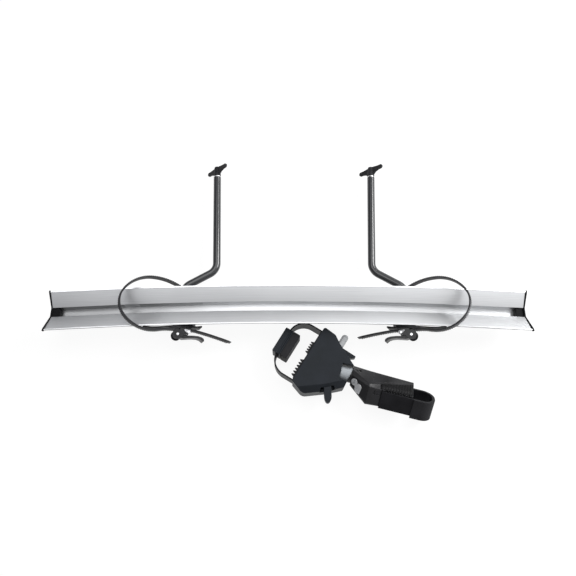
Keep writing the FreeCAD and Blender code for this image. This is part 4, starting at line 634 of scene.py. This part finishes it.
CHEEK_HALF = 10.2
CHEEK_WALL = 1.4
CHEEK_EDGE = 0.45
PIVOT = (51.0, -65.2)
PAWL = (28.0, -59.0)
BOSS_RADIUS = 11.0
BOSS_SPAN = (118.0, -128.0)
BOSS_POINTS = 22
NOSE_RADIUS = 4.6
NOSE_SPAN = (-100.0, -235.0)
NOSE_POINTS = 8
TONGUE_FRONT = (46.0, -50.0)
TONGUE_BACK = (28.0, -50.0)
THROAT = (38.0, -67.0)
BUCKLE_FLOOR = ((66.0, -49.1), (66.0, -50.6), (18.0, -50.6), (18.0, -49.1))
BUCKLE_FLOOR_EDGE = 0.3
CATCH_PLATE = ((36.0, -53.0), (36.0, -56.0), (27.0, -63.4), (23.4, -62.6), (21.6, -58.4), (22.6, -54.4))
CATCH_PLATE_WALL = 0.5
CATCH_PLATE_EDGE = 0.2
LEVER_DRUM_RADIUS = 8.2
LEVER_DRUM_SPAN = (150.0, -122.0)
LEVER_DRUM_POINTS = 20
LEVER_UNDER = ((38.0, -74.2), (28.0, -73.0), (16.0, -71.6), (6.0, -71.8), (-1.0, -73.6), (-5.6, -77.0))
LEVER_OVER = ((-9.0, -72.0), (-4.0, -68.6), (4.0, -66.6), (16.0, -66.2), (28.0, -66.8), (37.0, -66.6))
LEVER_TIP = (-7.6, -76.2)
LEVER_TIP_RADIUS = 2.2
LEVER_TIP_SPAN = (-20.0, -205.0)
LEVER_TIP_POINTS = 7
LEVER_HALF = 8.0
LEVER_EDGE = 1.3


def cheek_outline():
    """Round boss about the lever's pivot, run out to the pawl's pin and up to the tongue."""
    boss = arc_points(PIVOT, BOSS_RADIUS, BOSS_SPAN, BOSS_POINTS)
    nose = arc_points(PAWL, NOSE_RADIUS, NOSE_SPAN, NOSE_POINTS)
    return [TONGUE_FRONT, *boss, THROAT, *nose, TONGUE_BACK]


def lever_outline():
    """Thin thumb lever: round at the drum, nearly straight, hooked down at its tip."""
    root = arc_points(PIVOT, LEVER_DRUM_RADIUS, LEVER_DRUM_SPAN, LEVER_DRUM_POINTS)
    tip = arc_points(LEVER_TIP, LEVER_TIP_RADIUS, LEVER_TIP_SPAN, LEVER_TIP_POINTS)
    return [*root, *LEVER_UNDER, *tip, *LEVER_OVER]


def buckle(hand):
    """The buckle's cheeks, floor and catch plates, and its thumb lever, which turns on a body of its own."""
    place = strap_plane(hand)
    frame_node = "buckle_frame_" + hand
    cheeks = bmesh.new()
    for low in (-CHEEK_HALF, CHEEK_HALF - CHEEK_WALL):
        slab(cheeks, cheek_outline(), low, low + CHEEK_WALL)
    finished(cheeks, "buckle_cheeks_" + hand, frame_node, place, "buckle_plastic", edge=CHEEK_EDGE)
    floor = bmesh.new()
    slab(floor, BUCKLE_FLOOR, CHEEK_WALL - CHEEK_HALF, CHEEK_HALF - CHEEK_WALL)
    finished(floor, "buckle_floor_" + hand, frame_node, place, "buckle_steel", edge=BUCKLE_FLOOR_EDGE)
    catch = bmesh.new()
    for low in (-CHEEK_HALF - CATCH_PLATE_WALL, CHEEK_HALF):
        slab(catch, CATCH_PLATE, low, low + CATCH_PLATE_WALL)
    finished(catch, "catch_plates_" + hand, frame_node, place, "buckle_steel", CATCH_STEEL, CATCH_PLATE_EDGE)
    lever = bmesh.new()
    slab(lever, lever_outline(), -LEVER_HALF, LEVER_HALF)
    finished(lever, "thumb_lever_" + hand, "ratchet_lever_" + hand, place, "buckle_plastic", edge=LEVER_EDGE)


for hand in SIDE_OF:
    level_strap(hand)
    buckle(hand)


# Wing knobs: a tapered hub with two swept blades that narrow towards their tips

WING_ROLL = math.radians(-47.0)
WING_HALF_THICKNESS = 2.8
WING_EDGE = 1.2
HUB_LENGTH = 24.0
HUB_RADII = (8.8, 7.2)
HUB_SEGMENTS = 36
BLADE_LOW = [(0.0, 3.0), (9.5, 3.5), (15.0, 8.5), (24.0, 11.5), (33.0, 12.0), (36.0, 14.5)]
BLADE_HIGH = [(36.0, 19.5), (33.5, 22.0), (22.0, 22.0), (10.0, 23.5), (0.0, 23.5)]


def knob_place(hand):
    """Place whose X runs along a wing and Y outwards along the bar, at the knob's seat."""
    turn = next(joint for joint in behaviour["joints"] if joint["name"] == "knob_turn_" + hand)
    along = Vector(turn["axis"])
    level = Vector((along.y, -along.x, 0.0))
    wing = math.cos(WING_ROLL) * level - math.sin(WING_ROLL) * Vector((0.0, 0.0, 1.0))
    across = wing.cross(along)
    place = Matrix((wing, along, across)).transposed().to_4x4()
    return Matrix.Translation(turn["pos_m"]) @ place


def wing_knob(hand):
    """Hub and both wings in one piece."""
    shape = bmesh.new()
    upright = Matrix.Translation((0.0, HUB_LENGTH / 2, 0.0)) @ Matrix.Rotation(math.radians(-90.0), 4, "X")
    bmesh.ops.create_cone(
        shape,
        cap_ends=True,
        segments=HUB_SEGMENTS,
        radius1=HUB_RADII[0],
        radius2=HUB_RADII[1],
        depth=HUB_LENGTH,
        matrix=upright,
    )
    half = BLADE_LOW + BLADE_HIGH
    mirrored = [(-x, y) for x, y in reversed(half[1:-1])]
    slab(shape, half + mirrored, -WING_HALF_THICKNESS, WING_HALF_THICKNESS)
    finished(shape, "winged_knob_" + hand, "wing_knob_" + hand, knob_place(hand), edge=WING_EDGE)


for hand in SIDE_OF:
    wing_knob(hand)


# Frame clamp: the places of its jaw, its arm and the arm's housing

NECK = Vector((130.6, -148.3, 42.0)) * MM
JAW_FROM_NECK = Vector((-48.0, 103.0, -42.0)) * MM
JAW_TURN = math.radians(-121.5)
ARM_TURN = math.radians(-14.0)
HOUSING_ROLL = math.radians(-54.0)
JAW_PLACE = Matrix.Translation(NECK + JAW_FROM_NECK) @ Matrix.Rotation(JAW_TURN, 4, "Z")
ARM_PLACE = Matrix.Translation(NECK) @ Matrix.Rotation(ARM_TURN, 4, "Z")
HOUSING_PLACE = ARM_PLACE @ Matrix.Rotation(HOUSING_ROLL, 4, "X")
# Stands an outline across the housing, with its thickness along it
SIDEWAYS = Matrix(((0.0, 0.0, 1.0, 0.0), (1.0, 0.0, 0.0, 0.0), (0.0, 1.0, 0.0, 0.0), (0.0, 0.0, 0.0, 1.0)))


# The jaw's grip with sharp teeth, and a longer tension lever

GRIP_START = 14.0
GRIP_END = 135.0
GRIP_BACK = 1.0
GRIP_LOW = 5.0
GRIP_HIGH = 60.5
TOOTH_GROUPS = ((42.0, 5, 6.0), (88.0, 6, 7.4))
TOOTH_ROOT = -2.0
TOOTH_SEAT = -1.8
TOOTH_TIP = -9.0
TOOTH_DEPTH = 9.0
TOOTH_CREST = (0.42, 0.52)
TOOTH_FOOT = 0.94
LEVER_ROOT = 0.65
LEVER_STRETCH = 1.85
LEVER_ROUNDING = 1.6


def grip_teeth():
    """Rubber insert along the mouth, with two groups of pointed teeth."""
    shape = bmesh.new()
    strip = [
        (GRIP_START, GRIP_BACK),
        (GRIP_START, TOOTH_ROOT),
        (GRIP_END, TOOTH_ROOT),
        (GRIP_END, GRIP_BACK),
    ]
    slab(shape, strip, GRIP_LOW, GRIP_HIGH)
    for first, count, pitch in TOOTH_GROUPS:
        for index in range(count):
            start = first + pitch * index
            tooth = [
                (start, TOOTH_SEAT),
                (start + TOOTH_CREST[0] * pitch, TOOTH_TIP),
                (start + TOOTH_CREST[1] * pitch, TOOTH_TIP),
                (start + TOOTH_FOOT * pitch, TOOTH_SEAT),
            ]
            slab(shape, tooth, GRIP_HIGH - TOOTH_DEPTH, GRIP_HIGH)
    finished(shape, "grip_teeth", "jaw_grip", JAW_PLACE)


def tension_handle():
    """The tension lever with its finger end drawn out and rounded over."""
    shape = merged_copy("tension_lever")
    low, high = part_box("tension_lever")
    root = high[1] - LEVER_ROOT * (high[1] - low[1])
    for point in shape.verts:
        if point.co.y < root:
            point.co.y = root + (point.co.y - root) * LEVER_STRETCH
    piece = new_object(shape, "tension_handle")
    rounded = piece.modifiers.new("rounded", "BEVEL")
    rounded.width = LEVER_ROUNDING * MM
    rounded.segments = SHAPE_SEGMENTS
    rounded.limit_method = "ANGLE"
    rounded.angle_limit = SMOOTH_BELOW
    show_for("tension_lever", piece, "jaw_plastic")


# The arm: its neck, the ribbed recess beside the top panel with a sheet of painted shade, and the plate
# beside the lock

NECK_EDGE = 0.6
NECK_SEEN = 16.0
NECK_TRIM = 15.0
SHOULDER = 52.0
HOUSING_END = 150.0
RIDGE = ((-38.0, 8.0), (6.0, 10.0))
FRONT = ((-43.0, 3.0), (-32.0, -1.0))
RIB_COUNT = 11
RIB_START = 82.0
RIB_PITCH = 6.1
RIB_HALF = 1.4
RIB_AT_RIDGE = ((-1.5, -4.0), (-1.5, 0.6))
RIB_AT_FRONT = ((1.0, 1.7), (-0.9, 0.4), (-0.9, -9.0), (2.0, -9.0))
RIB_EDGE = 0.5
SKIN_START = 77.0
SKIN_LENGTH = 71.5
SKIN_MARGIN = 0.05
SKIN_LIFT = 0.35
SKIN_THICKNESS = 0.8
SKIN_CELLS = (14, 2)
GRID_HALF = 0.5
PLATE_CENTRE = Vector((29.5, -29.5, -12.0)) * MM
PLATE_TURN = math.radians(-30.96)
PLATE_FACES = (-1.0, 1.6)
PLATE_EDGE = 0.6
PLATE_OUTLINE = ((-2.0, -12.0), (7.0, -12.5), (9.5, 4.0), (6.0, 9.5), (-1.0, 10.0), (-7.5, 3.0), (-7.0, -6.0))


def sloping_face(along):
    """Ridge and front points of the housing's sloping face at a place along it."""
    share = (along - SHOULDER) / (HOUSING_END - SHOULDER)
    pairs = []
    for (first_across, first_top), (last_across, last_top) in (RIDGE, FRONT):
        across = first_across + (last_across - first_across) * share
        pairs.append((across, first_top + (last_top - first_top) * share))
    return pairs


def neck_tube():
    """The neck with its hidden end stopped short inside the housing's collar."""
    piece = softened("arm_neck", NECK_EDGE)
    back = ARM_PLACE.inverted()
    for point in piece.data.vertices:
        spot = back @ point.co
        if spot.x > NECK_SEEN * MM:
            spot.x -= NECK_TRIM * MM
            point.co = ARM_PLACE @ spot


def rib_outline(ridge, front):
    """A rib's section: just proud of the sloping face, with its back sunk below it."""
    upper = [(ridge[0] + across, ridge[1] + rise) for across, rise in RIB_AT_RIDGE]
    lower = [(front[0] + across, front[1] + rise) for across, rise in RIB_AT_FRONT]
    return upper + lower


def grip_ribs():
    """Upright ribs in the recess between the top panel and the housing's front, in black plastic made darker
    as painted shade.
    """
    place = HOUSING_PLACE @ SIDEWAYS
    for index in range(RIB_COUNT):
        along = RIB_START + RIB_PITCH * index
        shape = bmesh.new()
        slab(shape, rib_outline(*sloping_face(along)), along - RIB_HALF, along + RIB_HALF)
        name = "grip_rib_%d" % index
        # The ribs' black is darkened as painted shade
        finished(shape, name, "arm_housing", place, "housing_plastic", RECESS_SHADE_BLACK, RIB_EDGE)


def recess_shade_sheet():
    """Dark sheet of painted shade over the ribbed recess, laid just over the sloping face."""
    shape = bmesh.new()
    bmesh.ops.create_grid(shape, x_segments=SKIN_CELLS[0], y_segments=SKIN_CELLS[1], size=GRID_HALF)
    for point in shape.verts:
        along = SKIN_START + SKIN_LENGTH * (point.co.x + GRID_HALF)
        ridge, front = sloping_face(along)
        share = SKIN_MARGIN + (1.0 - 2 * SKIN_MARGIN) * (point.co.y + GRID_HALF)
        across = ridge[0] + (front[0] - ridge[0]) * share
        point.co = (along, across, ridge[1] + (front[1] - ridge[1]) * share + SKIN_LIFT)
    # Painted shade: a dark sheet where the recess lies in shade
    skin = finished(shape, "recess_shade_sheet", "arm_housing", HOUSING_PLACE, "housing_plastic", RECESS_SHADE_BLACK)
    thick = skin.modifiers.new("thickness", "SOLIDIFY")
    thick.thickness = SKIN_THICKNESS * MM
    thick.offset = 0.0


def key_plate():
    """Plain bright plate on the slanted facet beside the lock."""
    upright = Matrix.Rotation(PLATE_TURN, 4, "Z") @ Matrix.Rotation(math.radians(90.0), 4, "X")
    place = HOUSING_PLACE @ Matrix.Translation(PLATE_CENTRE) @ upright
    shape = bmesh.new()
    slab(shape, PLATE_OUTLINE, *PLATE_FACES)
    finished(shape, "key_plate", "lock_plate", place, "lock_metal", edge=PLATE_EDGE)


grip_teeth()
tension_handle()
neck_tube()
grip_ribs()
recess_shade_sheet()
key_plate()


# Floor, lamps and camera, in metres and watts

WHITE = (1.0, 1.0, 1.0)
FLOOR_HALF = 6.0
FLOOR_DROP = 0.0002
FLOOR_PAPER = (0.86, 0.86, 0.86)
FLOOR_GLOW = 1.06
FLOOR_SEEN = 0.85
WORLD_SPAN = (-0.42, 0.24)
WORLD_DIM = (0.34, 0.34, 0.35)
WORLD_LIGHT = 0.62
ORIGIN = (0.0, 0.0, 0.0)
LAMPS = (
    ("key_right", (1.3, 0.5, 1.1), ORIGIN, 0.9, 0.9, 22.0),
    ("edge_strip", (1.3, 1.0, 1.1), (0.0, 0.22, 0.0), 0.9, 0.12, 7.5),
    ("top_soft", (-0.3, 0.3, 1.9), ORIGIN, 1.4, 1.4, 14.0),
)
PHOTO_PIXELS = 576.0
FOCAL_PIXELS = 661.0
SENSOR = 36.0
CAMERA_AIM = Vector((0.0, 0.042, 0.077))
CAMERA_PITCH = math.radians(72.0)
CAMERA_DISTANCE = 1.5


def seen_rays(tree, share):
    """Share for rays that show the backdrop: camera, glossy and transmission rays."""
    path = node_in(tree, "ShaderNodeLightPath").outputs
    first = math_in(tree, "MAXIMUM", path["Is Camera Ray"], path["Is Glossy Ray"])
    second = math_in(tree, "MAXIMUM", first, path["Is Transmission Ray"])
    return math_in(tree, "MULTIPLY", second, share)


def white_floor():
    """Pale floor that keeps the object's shadow and is seen as white."""
    shape = bmesh.new()
    bmesh.ops.create_grid(shape, x_segments=1, y_segments=1, size=FLOOR_HALF)
    floor = new_object(shape, "studio_floor")
    floor.location.z = -FLOOR_DROP
    material = bpy.data.materials.new("studio_white")
    material.use_nodes = True
    tree = material.node_tree
    tree.nodes.clear()
    paper = node_in(tree, "ShaderNodeBsdfDiffuse", {"Color": FLOOR_PAPER}).outputs["BSDF"]
    glow = node_in(tree, "ShaderNodeEmission", {"Strength": FLOOR_GLOW}).outputs["Emission"]
    mixed = node_in(tree, "ShaderNodeMixShader", {"Fac": seen_rays(tree, FLOOR_SEEN), 1: paper, 2: glow})
    node_in(tree, "ShaderNodeOutputMaterial", {"Surface": mixed.outputs["Shader"]})
    floor.data.materials.append(material)


def studio_world():
    """Soft light from all round, paler towards the photograph's right."""
    world = bpy.data.worlds.new("studio_world")
    scene.world = world
    world.use_nodes = True
    tree = world.node_tree
    tree.nodes.clear()
    place = node_in(tree, "ShaderNodeTexCoord").outputs["Generated"]
    split = node_in(tree, "ShaderNodeSeparateXYZ", {"Vector": place})
    across = map_range(tree, split.outputs["X"], WORLD_SPAN, UNIT)
    studio = blend_colours(tree, across, WORLD_DIM, WHITE)
    path = node_in(tree, "ShaderNodeLightPath")
    colour = blend_colours(tree, path.outputs["Is Camera Ray"], studio, WHITE)
    strength = map_range(tree, seen_rays(tree, 1.0), UNIT, (WORLD_LIGHT, 1.0))
    light = node_in(tree, "ShaderNodeBackground", {"Color": colour, "Strength": strength})
    node_in(tree, "ShaderNodeOutputWorld", {"Surface": light.outputs["Background"]})


def aim_at(holder, at, aim):
    """Put a lamp or camera at a place, looking at another."""
    holder.location = at
    holder.rotation_euler = (Vector(aim) - Vector(at)).to_track_quat("-Z", "Y").to_euler()


def softbox(name, at, aim, width, height, power):
    """Rectangular lamp at a place, aimed at another."""
    lamp = bpy.data.lights.new(name, "AREA")
    lamp.shape = "RECTANGLE"
    lamp.size = width
    lamp.size_y = height
    lamp.energy = power
    holder = bpy.data.objects.new(name, lamp)
    scene.collection.objects.link(holder)
    aim_at(holder, at, aim)


def photo_camera():
    """Camera at the photograph's angle, its lens worked out from a focal length in pixels."""
    lens = bpy.data.cameras.new("photo_camera")
    lens.sensor_width = SENSOR
    lens.lens = FOCAL_PIXELS * SENSOR / PHOTO_PIXELS
    holder = bpy.data.objects.new("photo_camera", lens)
    scene.collection.objects.link(holder)
    back = Vector((0.0, -math.cos(CAMERA_PITCH), math.sin(CAMERA_PITCH)))
    aim_at(holder, CAMERA_AIM + back * CAMERA_DISTANCE, CAMERA_AIM)
    scene.camera = holder


white_floor()
studio_world()
for lamp in LAMPS:
    softbox(*lamp)
photo_camera()
scene.view_settings.view_transform = "Standard"
